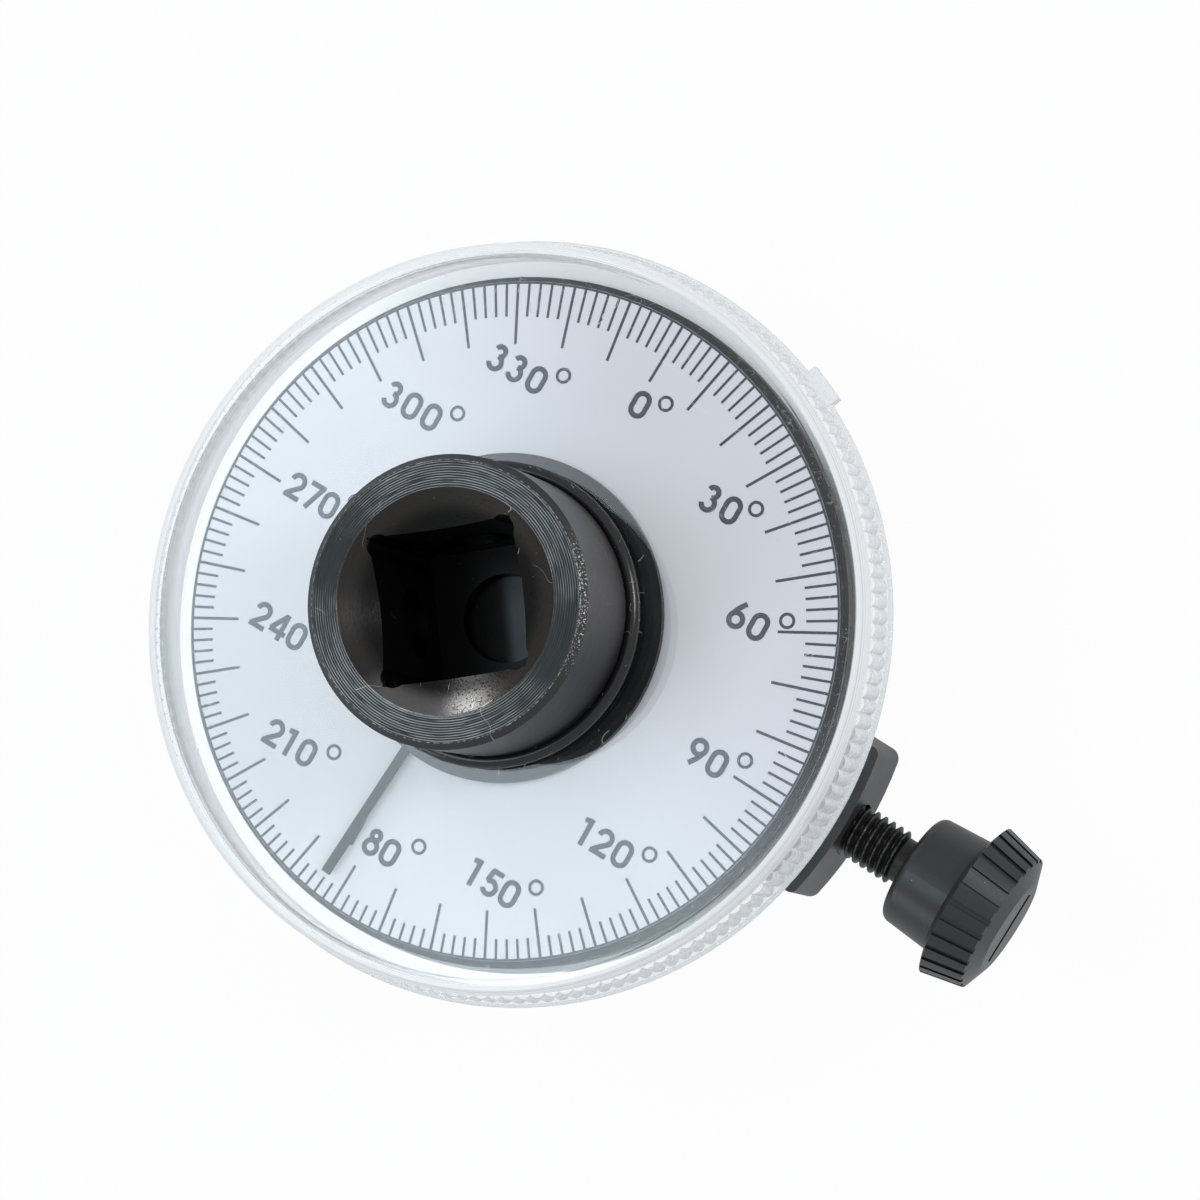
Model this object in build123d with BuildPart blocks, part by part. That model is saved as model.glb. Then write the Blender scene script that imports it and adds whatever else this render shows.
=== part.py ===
from build123d import *
from math import cos, pi, radians, sin, sqrt, tan
import os

# Torque angle gauge for a half-inch square drive. Millimetres, +Z along the drive axis
# towards the socket end. The origin is on the drive axis, at the shoulder where the male
# square starts, and +X is normal to a flat of both squares.

# Square drive
male_across = 12.70            # across the flats of the male square
male_length = 15.5             # shoulder to tip
male_corner_radius = 8.35      # the square's corners lie on this turned radius
male_tip_chamfer = 1.0
socket_clearance = 0.05        # each side of a male square in the socket
socket_across = male_across + 2 * socket_clearance
socket_depth = 16.5            # flat walls, from the face
socket_relief_radius = 1.1     # round relief in each corner
socket_relief_inset = 0.9      # relief centre, in from the corner along both flats
countersink_radius = 9.65
countersink_half_angle = 60.0
pilot_radius = 4.0             # drilled bore left under the square
pilot_depth = 2.0
dimple_radius = 3.1            # seat for a mating ball in each wall
dimple_depth = 0.8
dimple_from_face = 10.5

# Drive body, from the male square upwards
journal_radius = 11.5
disc_seat_step = 0.5           # the pointer disc's seat, out from the journal
head_step = 0.5                # the head, out from that seat
shoulder_chamfer = 0.5
head_chamfer = 0.55
head_heel_chamfer = 0.3
head_height = 11.75            # from the seal groove to the face
seal_groove_height = 1.4
throat_height = 2.9            # full-radius land that fills the window's hole

# Ball detent in the male square
ball_radius = 2.4
ball_clearance = 0.05
ball_from_tip = 7.8
ball_proud = 1.1
ball_travel = 1.0
lip_thickness = 0.3            # edge of the hole, peened over the ball
lip_clearance = 0.03
detent_hole_depth = 9.0
spring_radius = 1.75           # to the middle of the wire
spring_wire_radius = 0.25
spring_pitch = 1.5
spring_gap = 0.1

# Rear retaining ring and washer, on the journal
ring_groove_start = 1.0
ring_thickness = 1.2
ring_groove_depth = 0.55
ring_width = 2.35              # from the groove's bottom to the ring's edge
ring_opening_angle = 26.0
ring_ear_radius = 1.35
ring_ear_hole_radius = 0.65
ring_ear_angle = 19.0
rear_washer_thickness = 1.0
rear_washer_overhang = 0.4     # beyond the bush's flange
end_float = 0.05               # axial play beside each washer
running_gap = 0.05             # radial play of a shaft in its bore
fixed_gap = 0.02               # between pieces that are pressed or bonded together

# Housing: plate, boss, spigot and clamp lug in one moulding
bush_flange_thickness = 0.65
bush_flange_width = 2.2
bush_wall = 1.45
boss_wall = 4.5                # round the bush
boss_height = 6.0              # boss behind the plate
plate_thickness = 1.2
plate_inset = 1.9              # the plate's edge, in from the cover's rear lip
spigot_wall = 3.0              # round the bush
spigot_height = 3.0
rib_count = 8
rib_thickness = 1.5
rib_height = 3.2
rib_from_edge = 3.9            # the ribs stop short of the plate's edge
housing_edge_chamfer = 0.35

# Clamp lug and its bores
clamp_angle = -39.2            # direction of the lug and its screw, seen from the front
lug_width = 15.4
lug_overhang = 0.75            # beyond the cover's flange
lug_corner_fillet = 1.1
lug_draft = 2.4                # degrees; the lug narrows towards the front
lug_rear_fillet = 0.9
lug_below_boss = 1.0           # lug stands this far behind the boss
rod_bore_radius = 2.55         # for a 5 mm stop rod
rod_from_face = 6.1            # lug's outer face to the rod's axis
screw_above_lug_back = 4.3

# Dial carrier, friction ring and clip, on the spigot
carrier_gap = 0.7              # room for the friction ring
carrier_hub_thickness = 1.1
carrier_flange_thickness = 2.05
carrier_thickness = 2.6
carrier_recess_width = 2.3     # round the spigot, for the clip
carrier_radial_gap = 0.1
friction_ring_stand_off = 4.0  # out from the spigot
friction_ring_width = 5.5
friction_ring_slack = 0.05     # above and below the felt
clip_groove_depth = 0.7
clip_thickness = 0.6
clip_width = 2.3
clip_opening_angle = 34.0
clip_slack = 0.05

# Dial plate and pointer
dial_thickness = 0.8
dial_radius = 30.25
dial_hole_clearance = 0.5      # round the pointer's hub
front_washer_thickness = 0.8
front_washer_clearance = 0.4   # inside the dial's hole
pointer_disc_rim = 1.34        # out from the pointer's hub
pointer_disc_thickness = 0.8
pointer_disc_lift = 0.3        # under the disc, clear of the dial
pointer_hub_wall = 1.3
pointer_tip_margin = 2.35      # in from the dial's edge
pointer_tip_angle = -133.5     # where the tip points, at rest
pointer_skew = 1.85            # the strip is set slightly off its radius
pointer_width = 0.85
pointer_thickness = 0.3
pointer_root_gap = 0.3         # the strip's inner end, out from the disc's seat

# Clear cover: window, knurled rim and rear flange
window_rise = 4.0              # dial face to the window's outer face
window_thickness = 2.0
window_hole_clearance = 0.4    # round the drive body's head
dial_margin = 2.3              # inside of the cover's wall, out from the dial's edge
seat_margin = 0.67             # the cover's seat round the carrier, out from the dial's edge
seat_height = 0.65             # from the rear lip's back
bezel_wall = 0.65              # wall thickness at the bezel, and the sizes below likewise
bezel_chamfer = 0.45
bezel_width = 1.3              # the window's face steps down inside the bezel
bezel_step_height = 0.15
ridge_count = 160
ridge_top_tip_wall = 1.0
ridge_top_root_wall = 0.65
ridge_foot_tip_wall = 1.42
ridge_foot_root_wall = 1.0
ridge_height = 3.1
flange_wall = 1.8
flange_thickness = 1.0
flange_edge_fillet = 0.3
lip_wall = 2.38                # rear lip inside the flange, out from the seat
lip_height = 0.9
lip_rise = 0.1                 # the lip ends this far in front of the carrier's back
gate_angle = 28.1              # where the moulding gate was broken off
gate_proud = 0.75
gate_width = 3.6
gate_height = 1.3

# Seal ring round the head, on the window
seal_section_radius = 0.7
seal_centre_offset = 0.36      # the section's middle, out from the head's surface
seal_gap = 0.1

# Clamp screw
stud_radius = 2.5              # M5
stud_hole_gap = 0.05
stud_back_off = 0.55           # tip clear of the rod's bore, at rest
stud_neck_radius = 2.05
stud_neck_length = 1.3
stud_tip_chamfer = 0.35
stud_in_knob = 7.0
pad_radius = 1.5
pad_proud = 0.4
pad_length = 2.0
pad_clearance = 0.05
nut_across = 7.0
nut_thickness = 2.6
nut_from_face = 0.6
knob_stand_off = 5.85          # lug's face to the knob's inner end, at rest
knob_hub_start_radius = 5.2
knob_hub_end_radius = 5.5
knob_hub_length = 4.9
knob_hub_fillet = 0.9
knob_head_radius = 7.35
knob_head_end_radius = 6.5
knob_head_step = 0.7           # the head's inner face slopes back this far
knob_head_length = 3.7
knob_bevel_length = 0.75
knob_end_radius = 4.4
knob_rib_count = 28
knob_groove_width = 0.75
knob_groove_depth = 0.45
knob_slot_width = 1.0
knob_slot_length = 6.8
knob_slot_depth = 0.7

# Radii worked out from the sizes above
disc_seat_radius = journal_radius + disc_seat_step
head_radius = disc_seat_radius + head_step
ring_outer_radius = journal_radius - ring_groove_depth + ring_width
bush_bore = journal_radius + running_gap
bush_radius = bush_bore + bush_wall
bush_flange_radius = bush_radius + bush_flange_width
rear_washer_radius = bush_flange_radius + rear_washer_overhang
boss_radius = bush_radius + boss_wall
spigot_radius = bush_radius + spigot_wall
friction_ring_inner = spigot_radius + friction_ring_stand_off
pointer_hub_radius = disc_seat_radius + pointer_hub_wall
pointer_disc_radius = pointer_hub_radius + pointer_disc_rim
recess_radius = dial_radius + dial_margin
seat_radius = dial_radius + seat_margin
carrier_flange_radius = seat_radius - fixed_gap
flange_radius = recess_radius + flange_wall
lip_radius = seat_radius + lip_wall
plate_radius = lip_radius - plate_inset
rib_reach = plate_radius - rib_from_edge
lug_reach = flange_radius + lug_overhang
rod_reach = lug_reach - rod_from_face
stud_tip_reach = rod_reach + rod_bore_radius + stud_back_off
knob_start = lug_reach + knob_stand_off
carrier_recess_radius = spigot_radius + carrier_recess_width
clip_outer_radius = spigot_radius - clip_groove_depth + clip_width
dial_hole_radius = pointer_hub_radius + dial_hole_clearance
front_washer_radius = dial_hole_radius - front_washer_clearance
window_hole_radius = head_radius + window_hole_clearance
seal_centre_radius = head_radius + seal_centre_offset
pointer_tip_reach = dial_radius - pointer_tip_margin
pointer_length = pointer_tip_reach - disc_seat_radius - pointer_root_gap

# Heights of the stack, worked out from the sizes above
ring_groove_end = ring_groove_start + ring_thickness + end_float
rear_washer_start = ring_groove_end
bush_flange_start = rear_washer_start + rear_washer_thickness + end_float
boss_back = bush_flange_start + bush_flange_thickness
plate_back = boss_back + boss_height
plate_front = plate_back + plate_thickness
spigot_front = plate_front + spigot_height
carrier_back = plate_front + carrier_gap
carrier_hub_front = carrier_back + carrier_hub_thickness
carrier_flange_front = carrier_back + carrier_flange_thickness
dial_back = carrier_back + carrier_thickness
dial_face = dial_back + dial_thickness
front_washer_start = spigot_front + end_float
pointer_hub_back = front_washer_start + front_washer_thickness + end_float
pointer_disc_back = dial_face + pointer_disc_lift
pointer_disc_front = pointer_disc_back + pointer_disc_thickness
window_front = dial_face + window_rise
window_back = window_front - window_thickness
seal_groove_start = pointer_disc_front + throat_height
seal_groove_end = seal_groove_start + seal_groove_height
face_height = seal_groove_end + head_height
lug_back = boss_back - lug_below_boss
screw_height = lug_back + screw_above_lug_back

# The clamp screw's own directions
clamp_direction = Vector(cos(radians(clamp_angle)), sin(radians(clamp_angle)), 0)
clamp_side = Vector(-sin(radians(clamp_angle)), cos(radians(clamp_angle)), 0)
clamp_ground = Plane(origin=(0, 0, 0), x_dir=clamp_direction, z_dir=(0, 0, 1))
screw_axis = Axis((0, 0, screw_height), clamp_direction)
screw_section = Plane(origin=(0, 0, screw_height), x_dir=clamp_direction, z_dir=clamp_side * -1)

os.makedirs("parts", exist_ok=True)


def save(piece, node):
    """Label a finished piece and write it as its own STEP file."""
    piece.part.label = node
    export_step(piece.part, f"parts/{node}.step")


def screw_plane(reach):
    """A plane square to the clamp screw, at a distance from the drive axis."""
    centre = clamp_direction * reach + Vector(0, 0, screw_height)
    return Plane(origin=centre, x_dir=clamp_side, z_dir=clamp_direction)


def on_circle(radius, angle):
    """A point in a sketch, at an angle in degrees."""
    return (radius * cos(radians(angle)), radius * sin(radians(angle)))


def washer(inner, outer, start, thickness):
    """A flat ring that stands on its start height."""
    with BuildPart() as ring:
        with BuildSketch(Plane.XY.offset(start)):
            Circle(outer)
            Circle(inner, mode=Mode.SUBTRACT)
        extrude(amount=thickness)
    return ring


# Drive body: one turned and broached steel piece, socket in front and male square behind.
seal_groove_radius = seal_centre_radius - seal_section_radius
with BuildPart() as drive_body:
    with BuildSketch(Plane.XZ):
        with BuildLine():
            Polyline(
                (0, 0),
                (journal_radius - shoulder_chamfer, 0),
                (journal_radius, shoulder_chamfer),
                (journal_radius, ring_groove_start),
                (journal_radius - ring_groove_depth, ring_groove_start),
                (journal_radius - ring_groove_depth, ring_groove_end),
                (journal_radius, ring_groove_end),
                (journal_radius, pointer_hub_back),
                (disc_seat_radius, pointer_hub_back),
                (disc_seat_radius, pointer_disc_front),
                (head_radius, pointer_disc_front),
                (head_radius, seal_groove_start),
                (seal_groove_radius, seal_groove_start),
                (seal_groove_radius, seal_groove_end),
                (head_radius - head_heel_chamfer, seal_groove_end),
                (head_radius, seal_groove_end + head_heel_chamfer),
                (head_radius, face_height - head_chamfer),
                (head_radius - head_chamfer, face_height),
                (0, face_height),
                close=True,
            )
        make_face()
    revolve(axis=Axis.Z)
    # Male square, its corners turned round and its tip bevelled
    with BuildSketch():
        Rectangle(male_across, male_across)
        Circle(male_corner_radius, mode=Mode.INTERSECT)
    extrude(amount=-male_length)
    chamfer(drive_body.faces().sort_by(Axis.Z)[0].edges(), male_tip_chamfer)
    # Socket with a round relief in each corner
    with BuildSketch(Plane.XY.offset(face_height)):
        Rectangle(socket_across, socket_across)
        relief_span = socket_across - 2 * socket_relief_inset
        with GridLocations(relief_span, relief_span, 2, 2):
            Circle(socket_relief_radius)
    extrude(amount=-socket_depth, mode=Mode.SUBTRACT)
    with BuildSketch(Plane.XY.offset(face_height - socket_depth)):
        Circle(pilot_radius)
    extrude(amount=-pilot_depth, mode=Mode.SUBTRACT)
    # Countersunk mouth
    with BuildSketch(Plane.XZ):
        cone_depth = countersink_radius / tan(radians(countersink_half_angle))
        with BuildLine():
            Polyline(
                (0, face_height),
                (countersink_radius, face_height),
                (0, face_height - cone_depth),
                close=True,
            )
        make_face()
    revolve(axis=Axis.Z, mode=Mode.SUBTRACT)
    # A dimple in each wall for the mating drive's ball
    dimple_span = socket_across + 2 * dimple_depth
    for wall in (Plane.XZ, Plane.YZ):
        with BuildSketch(wall):
            with Locations((0, face_height - dimple_from_face)):
                Circle(dimple_radius)
        extrude(amount=dimple_span / 2, both=True, mode=Mode.SUBTRACT)
    # Stepped hole for the detent ball, open on the +X flat
    ball_height = ball_from_tip - male_length
    hole_radius = ball_radius + ball_clearance
    ball_centre = male_across / 2 + ball_proud - ball_radius
    lip_start = male_across / 2 - lip_thickness
    lip_hole_radius = sqrt(ball_radius**2 - (lip_start - ball_centre) ** 2) + lip_clearance
    hole_bottom = male_across / 2 - detent_hole_depth
    with BuildSketch(Plane.YZ.offset(hole_bottom)):
        with Locations((0, ball_height)):
            Circle(hole_radius)
    extrude(amount=lip_start - hole_bottom, mode=Mode.SUBTRACT)
    with BuildSketch(Plane.YZ.offset(lip_start)):
        with Locations((0, ball_height)):
            Circle(lip_hole_radius)
    extrude(amount=2 * lip_thickness, mode=Mode.SUBTRACT)
save(drive_body, "drive_body")

# Detent ball, a hair inside the hole's peened lip.
with BuildPart() as detent_ball:
    with Locations((ball_centre, 0, ball_height)):
        Sphere(ball_radius)
save(detent_ball, "detent_ball")

# Detent spring behind the ball, a few turns of round wire.
ball_seat_back = ball_centre - sqrt(ball_radius**2 - spring_radius**2)
spring_front = ball_seat_back - ball_travel - spring_gap - spring_wire_radius
spring_back = hole_bottom + spring_wire_radius + spring_gap
spring_start = Vector(spring_back, 0, ball_height)
with BuildPart() as detent_spring:
    with BuildLine():
        coil = Helix(
            pitch=spring_pitch,
            height=spring_front - spring_back,
            radius=spring_radius,
            center=spring_start,
            direction=(1, 0, 0),
        )
    with BuildSketch(Plane(origin=coil @ 0, z_dir=coil % 0)):
        Circle(spring_wire_radius)
    sweep(is_frenet=True)
save(detent_spring, "detent_spring")

# Retaining ring in the journal's groove: a sprung C with an eared opening.
ring_inner_radius = journal_radius - ring_groove_depth + fixed_gap
ring_middle_radius = (ring_inner_radius + ring_outer_radius) / 2
with BuildPart() as retaining_ring:
    with BuildSketch(Plane.XY.offset(ring_groove_start + end_float / 2)):
        Circle(ring_outer_radius)
        for side in (1, -1):
            with Locations(on_circle(ring_middle_radius, side * ring_ear_angle)):
                Circle(ring_ear_radius)
        Circle(ring_inner_radius, mode=Mode.SUBTRACT)
        with BuildLine():
            half_opening = ring_opening_angle / 2
            opening_reach = 2 * ring_outer_radius
            Polyline(
                (0, 0),
                on_circle(opening_reach, -half_opening),
                on_circle(opening_reach, half_opening),
                close=True,
            )
        make_face(mode=Mode.SUBTRACT)
        for side in (1, -1):
            with Locations(on_circle(ring_middle_radius, side * ring_ear_angle)):
                Circle(ring_ear_hole_radius, mode=Mode.SUBTRACT)
    extrude(amount=ring_thickness)
save(retaining_ring, "retaining_ring")

# Rear thrust washer, between the retaining ring and the bush's flange.
rear_washer = washer(
    journal_radius + running_gap, rear_washer_radius, rear_washer_start, rear_washer_thickness
)
save(rear_washer, "rear_washer")

# Flanged bush in the housing, in which the journal turns.
with BuildPart() as drive_bush:
    with BuildSketch(Plane.XZ):
        with BuildLine():
            Polyline(
                (bush_bore, bush_flange_start),
                (bush_flange_radius, bush_flange_start),
                (bush_flange_radius, boss_back),
                (bush_radius, boss_back),
                (bush_radius, spigot_front),
                (bush_bore, spigot_front),
                close=True,
            )
        make_face()
    revolve(axis=Axis.Z)
save(drive_bush, "drive_bush")

# Housing: a moulded plate with a boss behind, a spigot in front and the clamp lug.
housing_bore = bush_radius + fixed_gap
clip_groove_start = carrier_hub_front + clip_slack
clip_groove_end = clip_groove_start + clip_thickness + 2 * clip_slack
stud_hole_radius = stud_radius + stud_hole_gap
nut_front_reach = lug_reach - nut_from_face
with BuildPart() as housing:
    with BuildSketch(Plane.XZ):
        with BuildLine():
            Polyline(
                (housing_bore, boss_back),
                (boss_radius, boss_back),
                (boss_radius, plate_back),
                (plate_radius - housing_edge_chamfer, plate_back),
                (plate_radius, plate_back + housing_edge_chamfer),
                (plate_radius, plate_front),
                (spigot_radius, plate_front),
                (spigot_radius, clip_groove_start),
                (spigot_radius - clip_groove_depth, clip_groove_start),
                (spigot_radius - clip_groove_depth, clip_groove_end),
                (spigot_radius, clip_groove_end),
                (spigot_radius, spigot_front),
                (housing_bore, spigot_front),
                close=True,
            )
        make_face()
    revolve(axis=Axis.Z)
    # Stiffening ribs round the boss, all but the one that the lug replaces
    with BuildSketch(clamp_ground.offset(plate_back)):
        rib_middle = (boss_radius + rib_reach) / 2 - bush_wall
        rib_length = rib_reach - boss_radius + 2 * bush_wall
        rib_step = 360 / rib_count
        with PolarLocations(rib_middle, rib_count - 1, rib_step, 360 - 2 * rib_step):
            Rectangle(rib_length, rib_thickness)
    extrude(amount=-rib_height)
    # Clamp lug, a bar from the boss to beyond the rim, its outer face round the drive axis
    with BuildSketch(clamp_ground.offset(lug_back)) as lug_outline:
        with Locations((lug_reach / 2, 0)):
            Rectangle(lug_reach, lug_width)
        Circle(lug_reach, mode=Mode.INTERSECT)
        Circle((housing_bore + boss_radius) / 2, mode=Mode.SUBTRACT)
        outer_corners = lug_outline.vertices().sort_by(Axis.X)[-2:]
        fillet(outer_corners, lug_corner_fillet)
    extrude(amount=plate_front - lug_back, taper=lug_draft)
    lug_back_face = housing.faces().filter_by(Axis.Z).sort_by(Axis.Z)[0]
    back_rim = lug_back_face.edges().sort_by(Axis((0, 0, 0), clamp_direction))[1:]
    fillet(back_rim, lug_rear_fillet)
    # Hole for the bush, again, where the lug's root reached it
    with BuildSketch(Plane.XY.offset(lug_back)):
        Circle(rear_washer_radius + end_float * 4)
    extrude(amount=lug_below_boss, mode=Mode.SUBTRACT)
    # Stop-rod bore across the lug, and the screw's hole with its nut pocket
    with BuildSketch(screw_section):
        with Locations((rod_reach, 0)):
            Circle(rod_bore_radius)
    extrude(amount=lug_width, both=True, mode=Mode.SUBTRACT)
    with BuildSketch(screw_plane(rod_reach)):
        Circle(stud_hole_radius)
    extrude(amount=lug_reach, mode=Mode.SUBTRACT)
    with BuildSketch(screw_plane(nut_front_reach)):
        Rectangle(nut_across + 2 * fixed_gap, nut_across + 2 * fixed_gap)
    extrude(amount=-nut_thickness, mode=Mode.SUBTRACT)
save(housing, "housing")

# Square nut moulded into the lug, which takes the clamp screw's thread.
with BuildPart() as clamp_nut:
    with BuildSketch(screw_plane(nut_front_reach - fixed_gap)):
        Rectangle(nut_across, nut_across)
        Circle(stud_hole_radius, mode=Mode.SUBTRACT)
    extrude(amount=2 * fixed_gap - nut_thickness)
save(clamp_nut, "clamp_nut")

# Felt friction ring between the plate and the dial carrier, which holds the zero setting.
friction_ring = washer(
    friction_ring_inner,
    friction_ring_inner + friction_ring_width,
    plate_front + friction_ring_slack,
    carrier_gap - 2 * friction_ring_slack,
)
save(friction_ring, "friction_ring")

# Dial carrier: the black ring under the dial, which turns on the spigot.
carrier_bore = spigot_radius + carrier_radial_gap
with BuildPart() as dial_carrier:
    with BuildSketch(Plane.XZ):
        with BuildLine():
            Polyline(
                (carrier_bore, carrier_back),
                (carrier_flange_radius, carrier_back),
                (carrier_flange_radius, carrier_flange_front),
                (dial_radius, carrier_flange_front),
                (dial_radius, dial_back),
                (carrier_recess_radius, dial_back),
                (carrier_recess_radius, carrier_hub_front),
                (carrier_bore, carrier_hub_front),
                close=True,
            )
        make_face()
    revolve(axis=Axis.Z)
save(dial_carrier, "dial_carrier")

# Carrier clip: a split ring in the spigot's groove that holds the carrier down.
with BuildPart() as carrier_clip:
    with BuildSketch(Plane.XY.offset(clip_groove_start + clip_slack)):
        Circle(clip_outer_radius)
        Circle(spigot_radius - clip_groove_depth + fixed_gap, mode=Mode.SUBTRACT)
        with BuildLine():
            half_opening = clip_opening_angle / 2
            Polyline(
                (0, 0),
                on_circle(2 * clip_outer_radius, -half_opening),
                on_circle(2 * clip_outer_radius, half_opening),
                close=True,
            )
        make_face(mode=Mode.SUBTRACT)
    extrude(amount=clip_thickness)
save(carrier_clip, "carrier_clip")

# Dial plate, the thin printed disc on the carrier.
dial_plate = washer(dial_hole_radius, dial_radius, dial_back, dial_thickness)
save(dial_plate, "dial_plate")

# Front thrust washer, between the spigot and the pointer disc's hub.
front_washer = washer(
    journal_radius + running_gap, front_washer_radius, front_washer_start, front_washer_thickness
)
save(front_washer, "front_washer")

# The pointer's line: from its tip back towards the hub, skewed a little off the radius.
pointer_tip = Vector(*on_circle(pointer_tip_reach, pointer_tip_angle))
pointer_heading = pointer_tip_angle + pointer_skew
pointer_direction = Vector(*on_circle(1, pointer_heading))
pointer_middle = pointer_tip - pointer_direction * (pointer_length / 2)
pointer_back = pointer_disc_back + (pointer_disc_thickness - pointer_thickness) / 2
pointer_plane = Plane(
    origin=(pointer_middle.X, pointer_middle.Y, pointer_back),
    x_dir=pointer_direction,
    z_dir=(0, 0, 1),
)

# Pointer disc, pressed on the drive body under the window; its rim has a slot for the strip.
with BuildPart() as pointer_disc:
    with BuildSketch(Plane.XZ):
        with BuildLine():
            Polyline(
                (disc_seat_radius + fixed_gap, pointer_hub_back),
                (pointer_hub_radius, pointer_hub_back),
                (pointer_hub_radius, pointer_disc_back),
                (pointer_disc_radius, pointer_disc_back),
                (pointer_disc_radius, pointer_disc_front),
                (disc_seat_radius + fixed_gap, pointer_disc_front),
                close=True,
            )
        make_face()
    revolve(axis=Axis.Z)
    with BuildSketch(pointer_plane.offset(-fixed_gap)):
        Rectangle(pointer_length + 2 * fixed_gap, pointer_width + 2 * fixed_gap)
    extrude(amount=pointer_thickness + 2 * fixed_gap, mode=Mode.SUBTRACT)
save(pointer_disc, "pointer_disc")

# Pointer, a flat steel strip with a square end.
with BuildPart() as pointer:
    with BuildSketch(pointer_plane):
        Rectangle(pointer_length, pointer_width)
    extrude(amount=pointer_thickness)
save(pointer, "pointer")

# Seal ring, stretched into the groove under the head and running on the window.
with BuildPart() as seal_ring:
    with BuildSketch(Plane.XZ):
        with Locations((seal_centre_radius, window_front + seal_gap + seal_section_radius)):
            Circle(seal_section_radius - fixed_gap)
    revolve(axis=Axis.Z)
save(seal_ring, "seal_ring")


# Clear cover: one moulding of window, bezel, ridged grip and rear flange.
def ridged_outline(root_radius, tip_radius):
    """A closed outline of round ridges with sharp valleys between them."""
    step = 360 / ridge_count
    for ridge in range(ridge_count):
        ThreePointArc(
            on_circle(root_radius, ridge * step),
            on_circle(tip_radius, (ridge + 0.5) * step),
            on_circle(root_radius, (ridge + 1) * step),
        )


lip_back = carrier_back + lip_rise
flange_back = lip_back + lip_height
ridge_foot = flange_back + flange_thickness
ridge_top = ridge_foot + ridge_height
bezel_radius = recess_radius + bezel_wall
bezel_step_radius = bezel_radius - bezel_width
seat_front = lip_back + seat_height
with BuildPart() as dial_cover:
    with BuildSketch(Plane.XY.offset(ridge_foot)):
        with BuildLine():
            ridged_outline(recess_radius + ridge_foot_root_wall, recess_radius + ridge_foot_tip_wall)
        make_face()
    with BuildSketch(Plane.XY.offset(ridge_top)):
        with BuildLine():
            ridged_outline(recess_radius + ridge_top_root_wall, recess_radius + ridge_top_tip_wall)
        make_face()
    loft(ruled=True)
    # Bezel above the ridges
    with BuildSketch(Plane.XZ):
        with BuildLine():
            Polyline(
                (0, ridge_top),
                (bezel_radius, ridge_top),
                (bezel_radius, window_front - bezel_chamfer),
                (bezel_radius - bezel_chamfer, window_front),
                (bezel_step_radius, window_front),
                (bezel_step_radius - bezel_step_height, window_front - bezel_step_height),
                (0, window_front - bezel_step_height),
                close=True,
            )
        make_face()
    revolve(axis=Axis.Z)
    # Flange and rear lip below them
    with BuildSketch(Plane.XZ):
        with BuildLine():
            Polyline(
                (0, lip_back),
                (lip_radius, lip_back),
                (lip_radius, flange_back),
                (flange_radius - flange_edge_fillet, flange_back),
                (flange_radius, flange_back + flange_edge_fillet),
                (flange_radius, ridge_foot - flange_edge_fillet),
                (flange_radius - flange_edge_fillet, ridge_foot),
                (0, ridge_foot),
                close=True,
            )
        make_face()
    revolve(axis=Axis.Z)
    # Broken-off gate on the flange
    with BuildSketch(Plane.XY.offset(flange_back)):
        with Locations(Rot(0, 0, gate_angle)):
            with Locations(((flange_radius + gate_proud) / 2, 0)):
                Rectangle(flange_radius + gate_proud, gate_width)
    extrude(amount=gate_height)
    # Seat round the carrier, and a wider room in front of it for the dial
    with BuildSketch(Plane.XZ):
        with BuildLine():
            Polyline(
                (0, lip_back),
                (seat_radius, lip_back),
                (seat_radius, seat_front),
                (recess_radius, seat_front),
                (recess_radius, window_back),
                (0, window_back),
                close=True,
            )
        make_face()
    revolve(axis=Axis.Z, mode=Mode.SUBTRACT)
    # Hole for the drive body
    with BuildSketch(Plane.XY.offset(window_back)):
        Circle(window_hole_radius)
    extrude(amount=window_thickness, mode=Mode.SUBTRACT)
save(dial_cover, "dial_cover")

# Clamp stud, the knob's steel screw, hollow at its tip for the pad.
stud_end = knob_start + stud_in_knob
pad_start = stud_tip_reach - pad_proud
with BuildPart() as clamp_stud:
    with BuildSketch(screw_section):
        with BuildLine():
            Polyline(
                (stud_tip_reach, 0),
                (stud_tip_reach, stud_radius - stud_tip_chamfer),
                (stud_tip_reach + stud_tip_chamfer, stud_radius),
                (knob_start - stud_neck_length, stud_radius),
                (knob_start - stud_neck_length, stud_neck_radius),
                (knob_start, stud_neck_radius),
                (knob_start, stud_radius),
                (stud_end, stud_radius),
                (stud_end, 0),
                close=True,
            )
        make_face()
    revolve(axis=screw_axis)
    with BuildSketch(screw_plane(stud_tip_reach)):
        Circle(pad_radius + pad_clearance)
    extrude(amount=pad_length - pad_proud + pad_clearance, mode=Mode.SUBTRACT)
save(clamp_stud, "clamp_stud")

# Clamp pad, a brass button in the stud's tip that bears on the rod without turning.
with BuildPart() as clamp_pad:
    with BuildSketch(screw_plane(pad_start)):
        Circle(pad_radius)
    extrude(amount=pad_length)
save(clamp_pad, "clamp_pad")

# Clamp knob: a moulded hub and a ribbed head with a slotted end.
head_start = knob_start + knob_hub_length
rib_start = head_start + knob_head_step
rib_end = rib_start + knob_head_length
knob_end = rib_end + knob_bevel_length
head_taper = knob_head_radius - knob_head_end_radius


def groove_plane(angle):
    """A plane at the head's inner edge, facing along the taper at one angle."""
    outward = clamp_side * cos(radians(angle)) + Vector(0, 0, 1) * sin(radians(angle))
    along = clamp_direction * knob_head_length - outward * head_taper
    start = clamp_direction * rib_start + Vector(0, 0, screw_height) + outward * knob_head_radius
    across = along.cross(outward)
    return Plane(origin=start - along.normalized(), x_dir=across, z_dir=along)


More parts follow.
